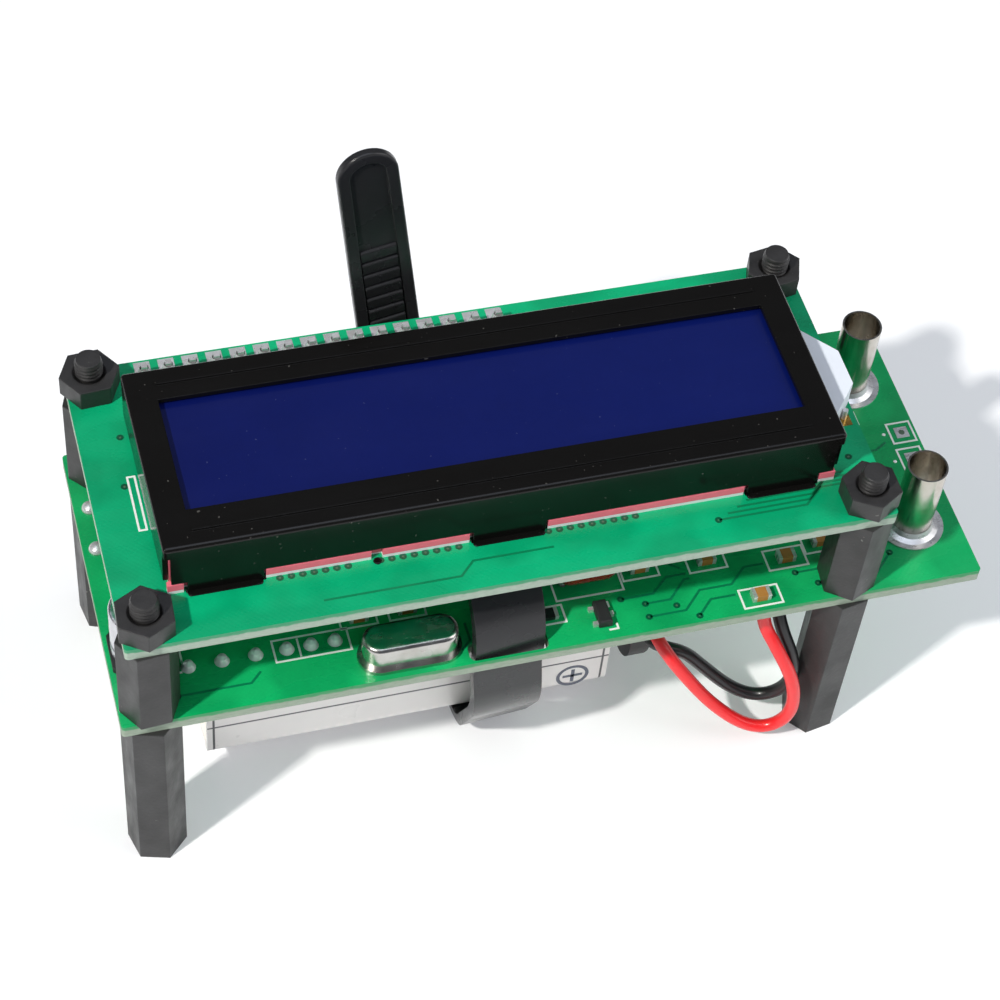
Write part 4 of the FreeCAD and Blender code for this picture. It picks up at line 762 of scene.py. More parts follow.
def turned(centre: Point2, profile: list[Point2], steps: int = 32) -> Arrays:
    """A closed ring turned about an upright axis.

    The point at angle a on profile point (r, z) is (x + r cos a, y + r sin a, z). The profile runs clockwise
    in the (r, z) plane and closes on itself.

    Args:
        centre: place of the axis.
        profile: radius and height of each point.
        steps: points round the axis.

    Returns:
        Points and faces.
    """
    radius, height = np.asarray(profile, float).T
    angle = np.linspace(0, FULL_TURN, steps, endpoint=False)
    x = centre[0] + radius[:, None] * np.cos(angle)
    y = centre[1] + radius[:, None] * np.sin(angle)
    z = np.broadcast_to(height[:, None], x.shape)
    points = np.stack([x, y, z], axis=2).reshape(-1, 3)
    return points, wrapped_grid(len(radius), steps, closed_rows=True)[:, ::-1]


def flat_ring(centre: Point2, outer: float, inner: float, base: float, height: float) -> Arrays:
    """A flat ring that lies on a board, such as a via's pad."""
    profile = [(outer, base), (inner, base), (inner, base + height), (outer, base + height)]
    return turned(centre, profile)


def ribbon(path: list[Point2], width: float, base: float, height: float) -> Arrays:
    """A flat strip carried along a path on a board.

    Each path point gets a cross-section of four corners, half the width to each side along the mean of the
    normals of its two runs, stretched at a bend so that the strip keeps its width.

    Args:
        path: places along the middle of the strip.
        width: width of the strip.
        base: height of the board's face.
        height: thickness of the strip.

    Returns:
        Points and faces.
    """
    middle = np.asarray(path, float)
    runs = np.diff(middle, axis=0)
    runs /= np.linalg.norm(runs, axis=1, keepdims=True)
    normals = np.stack([-runs[:, 1], runs[:, 0]], axis=1)
    before = np.concatenate([normals[:1], normals])
    after = np.concatenate([normals, normals[-1:]])
    stretch = 1.0 + np.sum(before * after, axis=1, keepdims=True)
    side = (before + after) / stretch * width / 2
    low = np.full((len(middle), 1), base)
    high = np.full((len(middle), 1), base + height)
    left, right = middle + side, middle - side
    corners = [np.hstack(pair) for pair in ((left, low), (right, low), (right, high), (left, high))]
    points = np.stack(corners, axis=1).reshape(-1, 3)
    first = np.arange(len(corners))
    last = first + len(corners) * (len(middle) - 1)
    faces = [wrapped_grid(len(middle), len(corners)), first[None, :], last[None, ::-1]]
    return points, np.concatenate(faces)[:, ::-1]


def outline(low: Point2, high: Point2, width: float, base: float, height: float) -> list[Arrays]:
    """The four printed lines of a box.

    Args:
        low: corner with the smaller x and y.
        high: the opposite corner.
        width: width of the lines.
        base: height of the board's face.
        height: thickness of the ink.

    Returns:
        Points and faces of each line.
    """
    (x0, y0), (x1, y1) = low, high
    half = width / 2
    lines = [[(x0 - half, y0), (x1 + half, y0)], [(x0 - half, y1), (x1 + half, y1)],
             [(x0, y0 + half), (x0, y1 - half)], [(x1, y0 + half), (x1, y1 - half)]]
    return [ribbon(line, width, base, height) for line in lines]


def dome(centre: Point2, radius: float, height: float, base: float, steps: int = 28) -> Arrays:
    """A drop on a flat foot: at angle t, 0 at the rim and a right angle at the top, it is r cos t by h sin t.

    Args:
        centre: place of its middle.
        radius: radius of its foot.
        height: height of its top.
        base: height of the board's face.
        steps: points round it.

    Returns:
        Points and faces.
    """
    angles = np.linspace(0, math.pi / 2, DOME_ROWS)
    profile = [(radius * math.cos(t), base + height * math.sin(t)) for t in angles[:-1]]
    points = profile + [(0.0, base + height), (0.0, base)]
    return turned(centre, points[::-1], steps)


class Palette:
    """Every finish on the tester, built when first asked for.

    A moulded finish gives its smooth and rough levels, its mottle and the patches' size, and its grain's size
    and depth. A metal gives its tarnish and how much of it, and its smooth and rough levels.
    """

    specs = (
        MouldedFinish("black_nylon", (40, 39, 39), 0.34, 0.56, 0.9, 1.6, 0.4, 0.03, dust=0.4, rounding=0.2),
        MouldedFinish("bezel_paint", (15, 14, 13), 0.12, 0.24, 0.4, 5.0, 0.35, 0.004,
                      specular=0.26, dust=0.22, rounding=0.14),
        MouldedFinish("strap_plastic", (36, 36, 38), 0.2, 0.34, 0.4, 3.0, 0.3, 0.008,
                      specular=0.36, rounding=0.2),
        MouldedFinish("header_plastic", (24, 24, 25), 0.45, 0.65, 0.4, 2.0, 0.2, 0.01),
        MouldedFinish("chip_resin", (34, 34, 36), 0.5, 0.7, 0.4, 0.8, 0.08, 0.008),
        MouldedFinish("controller_resin", (18, 18, 19), 0.2, 0.45, 0.4, 4.0, 0.6, 0.03, coat=0.4),
        MouldedFinish("contact_rubber", (244, 116, 134), 0.6, 0.8, 0.3, 1.0, 0.15, 0.015),
        MouldedFinish("insulator_white", (236, 236, 238), 0.5, 0.7, 0.1, 1.5, 0.2, 0.005),
        MouldedFinish("light_panel", (226, 232, 241), 0.3, 0.5, 0.12, 4.0, 0.4, 0.006),
        MouldedFinish("diffuser_film", (232, 236, 240), 0.5, 0.65, 0.1, 3.0, 0.1, 0.004),
        MouldedFinish("dipped_resin", (132, 20, 18), 0.12, 0.3, 0.35, 1.6, 0.6, 0.03, coat=0.5),
        MouldedFinish("chip_ceramic", (176, 120, 52), 0.5, 0.75, 0.35, 0.6, 0.1, 0.01),
        MouldedFinish("chip_resistor_top", (26, 26, 30), 0.3, 0.5, 0.3, 0.6, 0.1, 0.006),
        MouldedFinish("snap_vinyl", (24, 24, 26), 0.4, 0.6, 0.35, 2.5, 0.25, 0.012),
        MouldedFinish("red_insulation", (238, 36, 40), 0.28, 0.45, 0.2, 2.0, 0.35, 0.01, coat=0.2),
        MouldedFinish("black_insulation", (22, 22, 24), 0.3, 0.5, 0.3, 2.0, 0.35, 0.01, coat=0.2),
        MouldedFinish("white_ink", (240, 242, 238), 0.5, 0.7, 0.12, 0.8, 0.12, 0.004),
        MouldedFinish("grey_ink", (104, 108, 122), 0.5, 0.7, 0.12, 0.8, 0.12, 0.004),
        MouldedFinish("masked_copper", (6, 84, 56), 0.2, 0.36, 0.25, 2.0, 0.4, 0.004, coat=0.2),
        MouldedFinish("masked_track", (8, 118, 76), 0.2, 0.36, 0.25, 2.0, 0.4, 0.004, coat=0.2),
        MouldedFinish("via_hole", (78, 100, 80), 0.4, 0.6, 0.3, 0.5, 0.1, 0.004),
        MetalFinish("tinned", (226, 226, 228), (176, 172, 168), 0.4, 0.2, 0.42, metallic=0.6),
        MetalFinish("bright_solder", (244, 244, 244), (206, 204, 202), 0.2, 0.12, 0.26, metallic=0.35),
        MetalFinish("nickel_plate", (202, 197, 188), (150, 130, 100), 0.45, 0.14, 0.28),
        MetalFinish("crystal_plate", (196, 194, 190), (150, 142, 130), 0.4, 0.14, 0.32),
        MetalFinish("aluminium_can", (216, 216, 220), (176, 176, 180), 0.3, 0.2, 0.4),
        MetalFinish("gold_plate", (226, 178, 92), (190, 140, 66), 0.35, 0.16, 0.34),
        BoardFinish("display_mask", (3, 170, 114), (1, 140, 92), (158, 174, 158), 37.6),
        BoardFinish("main_mask", (18, 178, 102), (9, 142, 80), (146, 160, 142), 24.0),
        ScreenFinish("blue_screen", (8, 18, 78), (9, 24, 92)),
        GlassFinish("plate_glass", (214, 232, 228)),
        JacketFinish("battery_jacket", (242, 236, 232), (66, 64, 66), (8.9, 19.2), 0.25, -30.6, 14.8, 0.7),
    )
    made: dict[str, bpy.types.Material] = {}

    @classmethod
    def get(cls, name: str) -> bpy.types.Material:
        """Finds a finish, and builds it the first time.

        Args:
            name: the finish's name.

        Returns:
            Its material.
        """
        if name not in cls.made:
            spec = next(spec for spec in cls.specs if spec.name == name)
            cls.made[name] = spec.material()
        return cls.made[name]


def dress(finish: str, *nodes: str) -> None:
    """Puts a finish on CAD nodes.

    Args:
        finish: the finish's name.
        nodes: the nodes that take it.
    """
    material = Palette.get(finish)
    for name in nodes:
        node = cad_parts[name]
        if not node.material_slots:
            node.data.materials.append(material)
        for slot in node.material_slots:
            slot.material = material
        LOG.info("dressed %s in %s", name, finish)


@dataclass
class BoardMarks:
    """What is printed, etched and drilled on one face of a board. Sizes in millimetres."""

    prefix: str
    face: float
    ink: float = 0.03
    copper: float = 0.02
    line: float = 0.22
    boxes: list[tuple[Point2, Point2]] = field(default_factory=list)
    lines: list[list[Point2]] = field(default_factory=list)
    dots: list[Point2] = field(default_factory=list)
    tracks: list[list[Point2]] = field(default_factory=list)
    track_width: float = 0.26
    vias: list[Point2] = field(default_factory=list)
    via_radius: float = 0.38
    hole_radius: float = 0.13
    dot_steps: int = 12

    def build(self) -> None:
        """Makes the print, the tracks and the vias as separate pieces."""
        ink = [part for box in self.boxes for part in outline(*box, self.line, self.face, self.ink)]
        ink += [ribbon(path, self.line, self.face, self.ink) for path in self.lines]
        ink += [dome(dot, self.line, self.ink, self.face, self.dot_steps) for dot in self.dots]
        if ink:
            mesh_piece(self.prefix + "_print", ink, "white_ink")
        if self.tracks:
            strips = [ribbon(path, self.track_width, self.face, self.copper) for path in self.tracks]
            mesh_piece(self.prefix + "_tracks", strips, "masked_track")
        if self.vias:
            sizes = (self.via_radius, self.hole_radius, self.face, self.copper)
            rings = [flat_ring(via, *sizes) for via in self.vias]
            holes = [dome(via, self.hole_radius, self.copper / 2, self.face, self.dot_steps)
                     for via in self.vias]
            mesh_piece(self.prefix + "_vias", rings, "masked_copper")
            mesh_piece(self.prefix + "_via_holes", holes, "via_hole")


@dataclass
class Stand:
    """Legs, spacers, nuts and the threads that stand out of the nuts."""

    pitch_x: float = 75.0
    pitch_y: float = 31.0
    thread_pitch: float = 0.5
    minor: float = 1.26
    major: float = 1.48
    root: float = 41.5
    stud_top: float = 43.62
    steps: int = 40
    rows: int = 34
    turn_between: float = 0.27

    def thread(self, x: float, y: float, turn: float) -> Arrays:
        """The skin of a threaded stud end.

        At angle a and height z the radius swings between the minor and the major one as a triangle wave of
        z / pitch - a / 2 pi, so that the crests climb as a helix. A flat disc closes the end.

        Args:
            x: place of the stud.
            y: place of the stud.
            turn: where the thread starts, as a share of a turn.

        Returns:
            Points and faces.
        """
        angle = np.linspace(0, FULL_TURN, self.steps, endpoint=False)
        height = np.linspace(self.root, self.stud_top, self.rows)
        phase = (height[:, None] - self.root) / self.thread_pitch - angle / FULL_TURN + turn
        wave = np.abs(2 * (phase % 1.0) - 1.0)
        fade = np.clip((self.stud_top - height[:, None]) / self.thread_pitch, 0.0, 1.0)
        radius = self.minor + (self.major - self.minor) * wave * fade
        disc = np.outer((self.minor, 0.0), np.ones(self.steps))
        parts = []
        for rims, level in ((radius, height), (disc, np.full(2, self.stud_top))):
            points = np.stack([x + rims * np.cos(angle), y + rims * np.sin(angle),
                               np.broadcast_to(level[:, None], rims.shape)], axis=2)
            parts.append((points.reshape(-1, 3), wrapped_grid(len(level), self.steps)))
        return joined(parts)

    def build(self) -> None:
        """Makes the stud threads."""
        places = [(sx * self.pitch_x / 2, sy * self.pitch_y / 2) for sx in (-1, 1) for sy in (-1, 1)]
        parts = [self.thread(x, y, self.turn_between * index) for index, (x, y) in enumerate(places)]
        mesh_piece("stud_threads", parts, "black_nylon", smooth=True)

    def dress(self) -> None:
        """Puts nylon on the legs, spacers and nuts."""
        corners = ("front_left", "front_right", "back_left", "back_right")
        dress("black_nylon", "top_nuts", *("leg_" + c for c in corners), *("spacer_" + c for c in corners))


@dataclass
class DisplayModule:
    """The display board with its bezel, glass cell, backlight and header pads."""

    top: float = 39.2
    header_first_x: float = -31.8
    header_pitch: float = 2.54
    header_count: int = 16
    pad_width: float = 1.7
    pad_front: float = 14.3
    pad_back: float = 17.75
    pad_height: float = 0.03
    lamp_pads: tuple[Point2, ...] = ((38.7, -4.7), (38.7, 3.5))
    lamp_pad_width: float = 1.3
    lamp_pad_length: float = 2.2
    lip_spans: tuple[Span, ...] = ((-34.7, -33.1), (-24.9, -14.3), (-13.1, -4.2), (4.0, 24.9), (33.1, 34.8))
    lip_front: float = -12.3
    lip_depth: float = 0.6
    lip_height: float = 0.9
    insulator_height: float = 0.42
    tab_places: tuple[float, ...] = (-29.0, -0.1, 29.0)
    locating_hole: Point2 = (-13.7, -12.6)
    locating_radius: float = 0.456
    mouth_steps: int = 16
    slot_line: float = -12.62
    slot_half: float = 3.4
    slot_width: float = 0.76
    slot_rise: float = 0.06
    via_rows: tuple[tuple[float, int], ...] = ((-23.6, 7), (-13.4, 8), (4.0, 9))
    via_line: float = -12.6
    via_pitch: float = 1.15
    track_width: float = 0.24
    fan_path: tuple[Point2, ...] = ((21.4, -14.9), (31.0, -14.9), (33.2, -13.0), (36.2, -13.0))
    fan_steps: tuple[Point2, ...] = ((1.2, 0.62), (0.5, 0.62), (0.4, 0.5), (0.0, 0.5))
    fan_count: int = 4

    def marks(self) -> BoardMarks:
        """Lays out the print, tracks and vias of the display board's upper face.

        The tracks at the right fan out: each point of the path moves by its own step from track to track.

        Returns:
            The board's marks.
        """
        front_row = [(start + self.via_pitch * step, self.via_line)
                     for start, count in self.via_rows for step in range(count)]
        side = [(-35.7, 8.2), (-36.4, 1.8), (37.4, -9.8), (21.4, -14.9)]
        path, steps = np.array(self.fan_path), np.array(self.fan_steps)
        fans = [(path + track * steps).tolist() for track in range(self.fan_count)]
        links = [[(-20.0, -16.2), (-6.0, -16.2), (-4.4, -14.6), (4.0, -14.6)],
                 [(8.0, 14.2), (20.0, 14.2), (22.0, 13.0)]]
        boxes = [((-35.95, -4.0), (-35.2, 2.9))]
        return BoardMarks("display", self.top, boxes=boxes, tracks=fans + links, vias=front_row + side,
                          track_width=self.track_width)

    def pads(self) -> None:
        """Makes the header's oblong pads and the two gold pads of the backlight."""
        places = [self.header_first_x + self.header_pitch * pin for pin in range(self.header_count)]
        tin = [ribbon([(x, self.pad_front), (x, self.pad_back)], self.pad_width, self.top, self.pad_height)
               for x in places]
        mesh_piece("header_pads", tin, "tinned")
        half = self.lamp_pad_length / 2
        gold = [ribbon([(x, y - half), (x, y + half)], self.lamp_pad_width, self.top, self.pad_height)
                for x, y in self.lamp_pads]
        mesh_piece("backlight_pads", gold, "gold_plate")

    def strip_lips(self) -> None:
        """Makes the squeezed lips of the contact strips, which show under the bezel between its tabs."""
        middle = self.lip_front + self.lip_depth / 2
        runs = [[(left, middle), (right, middle)] for left, right in self.lip_spans]
        white = [ribbon(run, self.lip_depth, self.top, self.insulator_height) for run in runs]
        base = self.top + self.insulator_height
        pink = [ribbon(run, self.lip_depth, base, self.lip_height) for run in runs]
        mesh_piece("insulator_lips", white, "insulator_white")
        mesh_piece("strip_lips", pink, "contact_rubber")

    def tab_slots_and_shade(self) -> None:
        """Makes the dark mouths of the slots that the bezel's tabs go through, and of the locating hole: thin
        films of the bezel's black paint that give the tabs' own black and painted shade in the open gaps and
        the hole.
        """
        # Painted shade: the slot gaps and the locating hole are dark films laid on the board's face, not
        # openings.
        shaded_mouths = [dome(self.locating_hole, self.locating_radius, self.slot_rise, self.top, self.mouth_steps)]
        for x in self.tab_places:
            ends = [(x - self.slot_half, self.slot_line), (x + self.slot_half, self.slot_line)]
            shaded_mouths.append(ribbon(ends, self.slot_width, self.top, self.slot_rise))
            shaded_mouths += [dome(end, self.slot_width / 2, self.slot_rise, self.top, self.mouth_steps)
                       for end in ends]
        mesh_piece("tab_slots_and_shade", shaded_mouths, "bezel_paint")

    def build(self) -> None:
        """Makes everything that lies on the board."""
        self.marks().build()
        self.pads()
        self.strip_lips()
        self.tab_slots_and_shade()

    def dress(self) -> None:
        """Puts finishes on the display's nodes."""
        dress("display_mask", "display_board")
        dress("bezel_paint", "display_bezel")
        dress("blue_screen", "front_polariser")
        dress("plate_glass", "front_glass", "rear_glass")
        dress("diffuser_film", "diffuser_sheet", "rear_polariser")
        dress("contact_rubber", "contact_strips")
        dress("insulator_white", "strip_insulators")
        dress("light_panel", "backlight_panel")
        dress("controller_resin", "controller_drops")
        dress("header_plastic", "header_strip", "header_socket")
        dress("tinned", "backlight_pins", "header_pins", "socket_tails", "header_solder")


@dataclass
class MainBoard:
    """The main board with its parts, test terminals and print."""

    top: float = 25.6
    probe_pads: tuple[Point2, ...] = ((50.7, 2.2), (50.6, -1.5))
    probe_pad_size: float = 1.5
    probe_pad_height: float = 0.04
    probe_hole_radius: float = 0.35
    probe_hole_rise: float = 0.02
    probe_hole_steps: int = 16
    edge_blobs: tuple[Point2, ...] = ((-39.1, 10.4), (-39.3, 4.9))
    blob_radius: float = 0.9
    blob_height: float = 0.7

    def marks(self) -> BoardMarks:
        """Lays out the print, tracks and vias of the main board's upper face.

        Returns:
            The board's marks.
        """
        boxes = [((-24.0, -13.3), (-16.1, -10.6)), ((25.6, -17.2), (29.9, -14.8)),
                 ((29.8, -13.0), (34.2, -10.4)), ((14.0, -11.0), (18.0, -8.5)),
                 ((21.3, -11.5), (25.5, -8.9)), ((34.4, -11.7), (38.5, -9.2)), ((3.2, -14.7), (6.6, -12.5)),
                 ((6.3, -12.0), (13.7, -7.9)), ((19.6, -0.9), (28.4, 7.9)), ((49.3, 0.8), (52.0, 3.6)),
                 ((49.2, -2.9), (51.9, -0.1)), ((-16.6, -10.7), (-12.7, -8.5)),
                 ((-11.4, -10.7), (-7.5, -8.5))]
        lines = [[(-21.37, -13.1), (-21.37, -10.8)], [(11.0, -13.2), (11.5, -13.2), (11.5, -13.9)],
                 [(10.7, -16.7), (11.7, -16.7), (11.7, -16.0)], [(46.3, 4.2), (46.3, 6.2)],
                 [(-40.2, -12.4), (-33.6, -12.4)], [(-33.4, -12.2), (-33.4, -5.6)],
                 [(44.2, -6.0), (49.8, -6.0)]]
        dots = [(48.6, 2.3), (48.5, -1.6)]
        tracks = [[(15.4, -14.3), (18.2, -14.3), (20.4, -12.1), (21.0, -12.1)],
                  [(15.3, -16.0), (19.4, -16.0), (21.6, -13.8), (25.2, -13.8), (27.2, -11.9), (29.4, -11.9)],
                  [(13.0, -13.2), (16.6, -13.2), (18.6, -11.4), (20.8, -11.4)],
                  [(20.6, -17.0), (22.4, -15.2), (25.2, -15.2)],
                  [(16.8, -9.7), (19.2, -9.7), (20.4, -10.6)],
                  [(32.4, -13.8), (35.2, -13.8), (36.6, -12.4)],
                  [(34.4, -15.6), (41.2, -15.6), (43.4, -13.4)],
                  [(-5.0, -15.9), (-3.9, -14.8), (-3.9, -12.6)], [(44.0, 0.4), (47.0, 0.4), (48.4, 1.2)],
                  [(-38.6, 12.6), (-36.4, 10.4), (-36.4, 2.0)],
                  [(-34.6, -15.2), (-27.0, -15.2), (-25.8, -14.0)]]
        vias = [(15.4, -14.3), (15.3, -16.0), (13.0, -13.2), (32.4, -13.8), (20.6, -17.0), (34.4, -15.6),
                (43.4, -13.4), (44.0, 0.4), (-34.6, -15.2), (18.6, -15.2), (42.6, 8.2), (45.2, -4.2),
                (39.6, -12.6)]
        return BoardMarks("main", self.top, boxes=boxes, lines=lines, dots=dots, tracks=tracks, vias=vias)

    def build(self) -> None:
        """Makes the print, the bare probe pads and the drops of solder on the left edge."""
        self.marks().build()
        half = self.probe_pad_size / 2
        pads = [ribbon([(x - half, y), (x + half, y)], self.probe_pad_size, self.top, self.probe_pad_height)
                for x, y in self.probe_pads]
        mesh_piece("probe_pads", pads, "tinned")
        face = self.top + self.probe_pad_height
        holes = [dome(pad, self.probe_hole_radius, self.probe_hole_rise, face, self.probe_hole_steps)
                 for pad in self.probe_pads]
        mesh_piece("probe_pad_holes", holes, "via_hole")
        blobs = [dome(blob, self.blob_radius, self.blob_height, self.top) for blob in self.edge_blobs]
        mesh_piece("edge_solder", blobs, "tinned", smooth=True)

    def dress(self) -> None:
        """Puts finishes on the main board's nodes."""
        dress("main_mask", "main_board")
        dress("nickel_plate", "test_terminal_front", "test_terminal_back")
        dress("tinned", "terminal_pads", "terminal_solder", "film_capacitor_leads", "microcontroller_leads",
              "regulator_leads", "diode_leads", "chip_end_caps", "power_switch_pins", "link_pins")
        dress("bright_solder", "front_solder_joints")
        dress("crystal_plate", "crystal_base", "crystal_can", "power_switch_body")
        dress("dipped_resin", "film_capacitor")
        dress("aluminium_can", "electrolytic_can")
        dress("header_plastic", "electrolytic_base", "link_header", "power_switch_slider")
        dress("chip_resin", "microcontroller", "voltage_regulator", "switching_diode")
        dress("chip_resistor_top", "chip_resistors")
        dress("chip_ceramic", "chip_capacitors")


@dataclass
class Lead:
    """A battery lead: a limp insulated wire on a smooth curve that its route's points steer."""

    name: str
    finish: str
    slot: str
    route: tuple[Point3, ...]
    length: float
    diameter: float = 1.5
    round_steps: int = 5
    run_steps: int = 12

    def build(self) -> None:
        curve = bpy.data.curves.new(self.name + "_wire", "CURVE")
        curve.dimensions = "3D"
        curve.bevel_depth = self.diameter / 2 * MM
        curve.bevel_resolution = self.round_steps
        curve.resolution_u = self.run_steps
        curve.use_fill_caps = True
        spline = curve.splines.new("NURBS")
        spline.points.add(len(self.route) - 1)
        points = np.ones((len(self.route), 4))
        points[:, :3] = np.asarray(self.route) * MM
        spline.points.foreach_set("co", points.ravel())
        spline.order_u = 3
        spline.use_endpoint_u = True
        curve.materials.append(Palette.get(self.finish))
        piece = bpy.data.objects.new(self.name + "_wire", curve)
        bpy.context.scene.collection.objects.link(piece)
        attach(piece, BODY)
        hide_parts(self.name)
        LOG.info("made %s, %.1f mm long", piece.name, self.length)


@dataclass
class PowerPack:
    """Battery, snap cap, leads, strap and release pawl."""

    battery_front: float = -9.0
    plus_x: float = 10.8
    plus_z: float = 6.1
    plus_radius: float = 1.9
    plus_arm: float = 1.14
    plus_line: float = 0.4
    ink: float = 0.03
    leads: tuple[Lead, ...] = (
        Lead("red_lead", "red_insulation", "red_wire",
             ((18.6, -8.75, 15.2), (18.6, -11.0, 15.2), (19.3, -13.1, 14.2), (21.4, -14.6, 11.1),
              (24.8, -16.0, 6.3), (28.4, -17.3, 3.0), (31.1, -18.0, 2.2), (33.2, -18.5, 3.9),
              (33.7, -18.7, 7.2), (32.8, -18.5, 12.0), (30.8, -17.2, 16.4), (28.9, -14.9, 20.0),
              (28.9, -14.9, 24.0)), 46.5),
        Lead("black_lead", "black_insulation", "black_wire",
             ((18.6, -8.75, 12.6), (18.6, -10.6, 12.6), (20.1, -11.9, 12.7), (22.4, -12.1, 11.5),
              (24.7, -12.9, 8.9), (28.0, -14.0, 5.4), (30.9, -14.9, 4.2), (33.2, -15.9, 6.0),
              (33.9, -16.6, 9.6), (33.2, -16.6, 13.6), (31.6, -15.2, 17.8), (31.2, -13.6, 20.6),
              (31.2, -13.6, 24.0)), 39.5),
    )

    def upright(self, part: Arrays) -> Arrays:
        """Stands a flat mark up on the battery's front: (x, y, z) becomes (x, front - z, y)."""
        points, faces = part
        return np.stack([points[:, 0], self.battery_front - points[:, 2], points[:, 1]], axis=1), faces

    def build(self) -> None:
        """Makes the polarity mark and the leads."""
        arm, x, z = self.plus_arm, self.plus_x, self.plus_z
        parts = [flat_ring((x, z), self.plus_radius, self.plus_radius - self.plus_line, 0.0, self.ink),
                 ribbon([(x - arm, z), (x + arm, z)], self.plus_line, 0.0, self.ink),
                 ribbon([(x, z - arm), (x, z + arm)], self.plus_line, 0.0, self.ink)]
        mark = [self.upright(part) for part in parts]
        mesh_piece("polarity_mark", mark, "grey_ink")
        for lead in self.leads:
            lead.build()

    def dress(self) -> None:
        """Puts finishes on the battery, its contacts and the strap."""
        dress("battery_jacket", "battery_case")
        dress("nickel_plate", "battery_terminals", "snap_contacts")
        dress("snap_vinyl", "battery_snap_cap")
        dress("strap_plastic", "battery_strap", "strap_pawl")


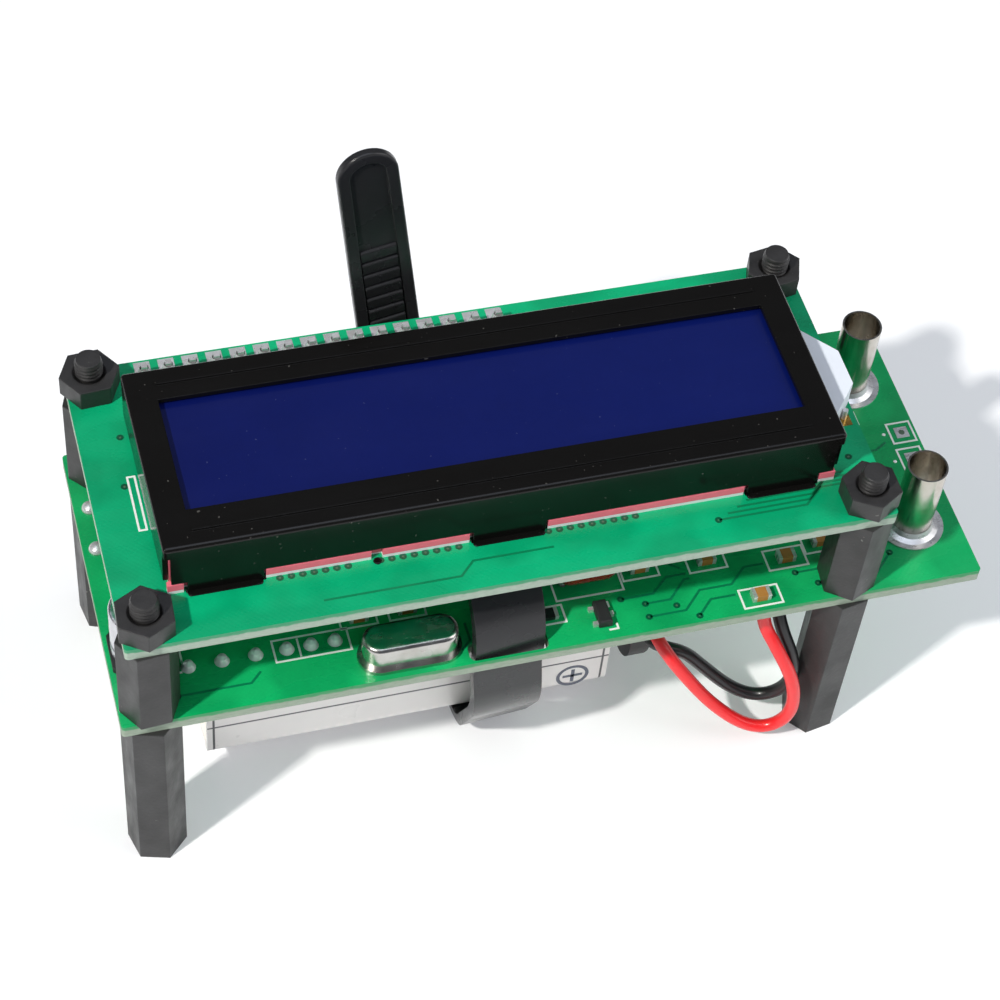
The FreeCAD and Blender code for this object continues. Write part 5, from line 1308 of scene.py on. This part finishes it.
@dataclass
class Studio:
    """Floor, lamps, white surroundings and the camera at the photograph's angle.

    Lengths are in metres, apart from the camera's place, which is in millimetres as the pieces are. The
    lamp's and the sky's colours are linear.
    """

    floor_size: float = 3.0
    floor_colour: Rgb = (252, 253, 255)
    floor_mottle_scale: float = 20.0
    floor_mottle: float = 0.02
    floor_rough: float = 0.9
    floor_specular: float = 0.1
    floor_white: float = 0.18
    shadow_reach: float = 0.16
    white_reach: float = 0.4
    key_direction: Point3 = (0.586, 0.314, -0.747)
    key_colour: Rgb = (1.0, 0.97, 0.92)
    key_distance: float = 0.9
    key_size: float = 0.04
    key_power: float = 7.4
    fill_direction: Point3 = (-0.8, 0.2, -0.57)
    fill_distance: float = 1.0
    fill_size: float = 0.8
    fill_power: float = 4.4
    lamp_aim: Point3 = (0.0, 0.0, 0.03)
    sky_colour: Rgb = (0.86, 0.93, 1.06)
    sky_strength: float = 0.38
    gloss_strength: float = 0.12
    overhead_strength: float = 2.2
    overhead_heights: Span = (0.88, 0.95)
    camera_place: Point3 = (-57.75, -162.55, 248.28)
    camera_right: Point3 = (0.96211, -0.26291, 0.07221)
    camera_forward: Point3 = (0.2176, 0.5808, -0.7844)
    lens: float = 94.53
    sensor: float = 36.0
    nearest: float = 0.01

    def seen(self, graph: Graph) -> bpy.types.NodeSocket:
        """Returns 1 for rays that show a surface to the camera, straight or through glass, else 0."""
        rays = graph.add("ShaderNodeLightPath")
        return graph.math("MAXIMUM", rays.outputs["Is Camera Ray"], rays.outputs["Is Transmission Ray"])

    def floor(self) -> None:
        """Makes the pale floor, which takes shadows and shows white where it is bare."""
        half = self.floor_size / 2
        corners = [(-half, -half, 0.0), (half, -half, 0.0), (half, half, 0.0), (-half, half, 0.0)]
        mesh = bpy.data.meshes.new("floor")
        mesh.from_pydata(corners, [], [(0, 1, 2, 3)])
        material, graph, shader = new_material("pale_floor")
        point = graph.object_point()
        tone = Effects.place(graph, Effect.MOTTLE, Vector=point, Colour=linear(self.floor_colour),
                             Scale=self.floor_mottle_scale, Amount=self.floor_mottle)
        graph.feed(shader, {"Base Color": tone, "Roughness": self.floor_rough,
                            "Specular IOR Level": self.floor_specular})
        white = graph.add("ShaderNodeEmission")
        white.inputs["Strength"].default_value = 1.0
        glossy = graph.add("ShaderNodeLightPath").outputs["Is Glossy Ray"]
        shown = graph.math("MAXIMUM", self.seen(graph), glossy)
        x, y, _ = graph.split(point)
        squares = [graph.math("MULTIPLY", side, side) for side in (x, y)]
        away = graph.math("SQRT", graph.math("ADD", *squares))
        share = graph.remap(away, (self.shadow_reach, self.white_reach), self.floor_white, 1.0)
        mixer = graph.add("ShaderNodeMixShader")
        mixed = graph.fill(mixer, graph.math("MULTIPLY", shown, share), shader.outputs[0], white.outputs[0])
        graph.put(material.node_tree.nodes["Material Output"].inputs["Surface"], mixed)
        mesh.materials.append(material)
        floor = bpy.data.objects.new("floor", mesh)
        bpy.context.scene.collection.objects.link(floor)

    def lamp(self, name: str, direction: Point3, distance: float, size: float,
             power: float) -> bpy.types.Light:
        """Adds a square lamp that shines along a direction on to the tester.

        Args:
            name: the lamp's name.
            direction: the way its light goes.
            distance: how far it stands off, in metres.
            size: length of its sides, in metres.
            power: its power in watts.

        Returns:
            The lamp's light.
        """
        light = bpy.data.lights.new(name, "AREA")
        light.energy = power
        light.size = size
        lamp = bpy.data.objects.new(name, light)
        way = Vector(direction)
        lamp.location = Vector(self.lamp_aim) - way.normalized() * distance
        lamp.rotation_euler = way.to_track_quat("-Z", "Y").to_euler()
        bpy.context.scene.collection.objects.link(lamp)
        return light

    def surroundings(self) -> None:
        """Lights the tester softly from all round, and shows white to the camera and to glass.

        Gloss sees it dim, apart from a bright patch overhead.
        """
        world = bpy.data.worlds.new("studio")
        world.use_nodes = True
        graph = Graph(world.node_tree)
        output = world.node_tree.nodes["World Output"]
        ambient = world.node_tree.nodes["Background"]
        ambient.inputs["Color"].default_value = (*self.sky_colour, 1.0)
        glossy = graph.add("ShaderNodeLightPath").outputs["Is Glossy Ray"]
        _, _, height = graph.split(graph.add("ShaderNodeTexCoord").outputs["Generated"])
        gloss = graph.remap(height, self.overhead_heights, self.gloss_strength, self.overhead_strength)
        graph.put(ambient.inputs["Strength"], graph.remap(glossy, (0.0, 1.0), self.sky_strength, gloss))
        white = graph.add("ShaderNodeBackground")
        graph.feed(white, {"Color": (1.0, 1.0, 1.0, 1.0), "Strength": 1.0})
        mixer = graph.add("ShaderNodeMixShader")
        mixed = graph.fill(mixer, self.seen(graph), ambient.outputs[0], white.outputs[0])
        graph.put(output.inputs["Surface"], mixed)
        bpy.context.scene.world = world

    def camera(self) -> None:
        """Stands the camera where the photograph was taken from."""
        lens = bpy.data.cameras.new("camera")
        lens.lens = self.lens
        lens.sensor_width = self.sensor
        lens.clip_start = self.nearest
        right = Vector(self.camera_right).normalized()
        back = -Vector(self.camera_forward).normalized()
        up = back.cross(right).normalized()
        camera = bpy.data.objects.new("camera", lens)
        turn = Matrix((right, up, back)).transposed().to_4x4()
        camera.matrix_world = Matrix.Translation(Vector(self.camera_place) * MM) @ turn
        bpy.context.scene.collection.objects.link(camera)
        bpy.context.scene.camera = camera

    def build(self) -> None:
        """Sets up the whole studio."""
        bpy.context.scene.view_settings.view_transform = "Standard"
        self.floor()
        self.surroundings()
        key = self.lamp("key_lamp", self.key_direction, self.key_distance, self.key_size, self.key_power)
        key.color = self.key_colour
        self.lamp("fill_lamp", self.fill_direction, self.fill_distance, self.fill_size, self.fill_power)
        self.camera()


def main() -> None:
    """Builds and dresses every sub-assembly, then the studio."""
    logging.basicConfig(level=logging.INFO, format="%(name)s: %(message)s")
    for assembly in (Stand(), DisplayModule(), MainBoard(), PowerPack()):
        assembly.build()
        assembly.dress()
        LOG.info("finished %s", type(assembly).__name__)
    Studio().build()


if __name__ == "__main__":
    main()
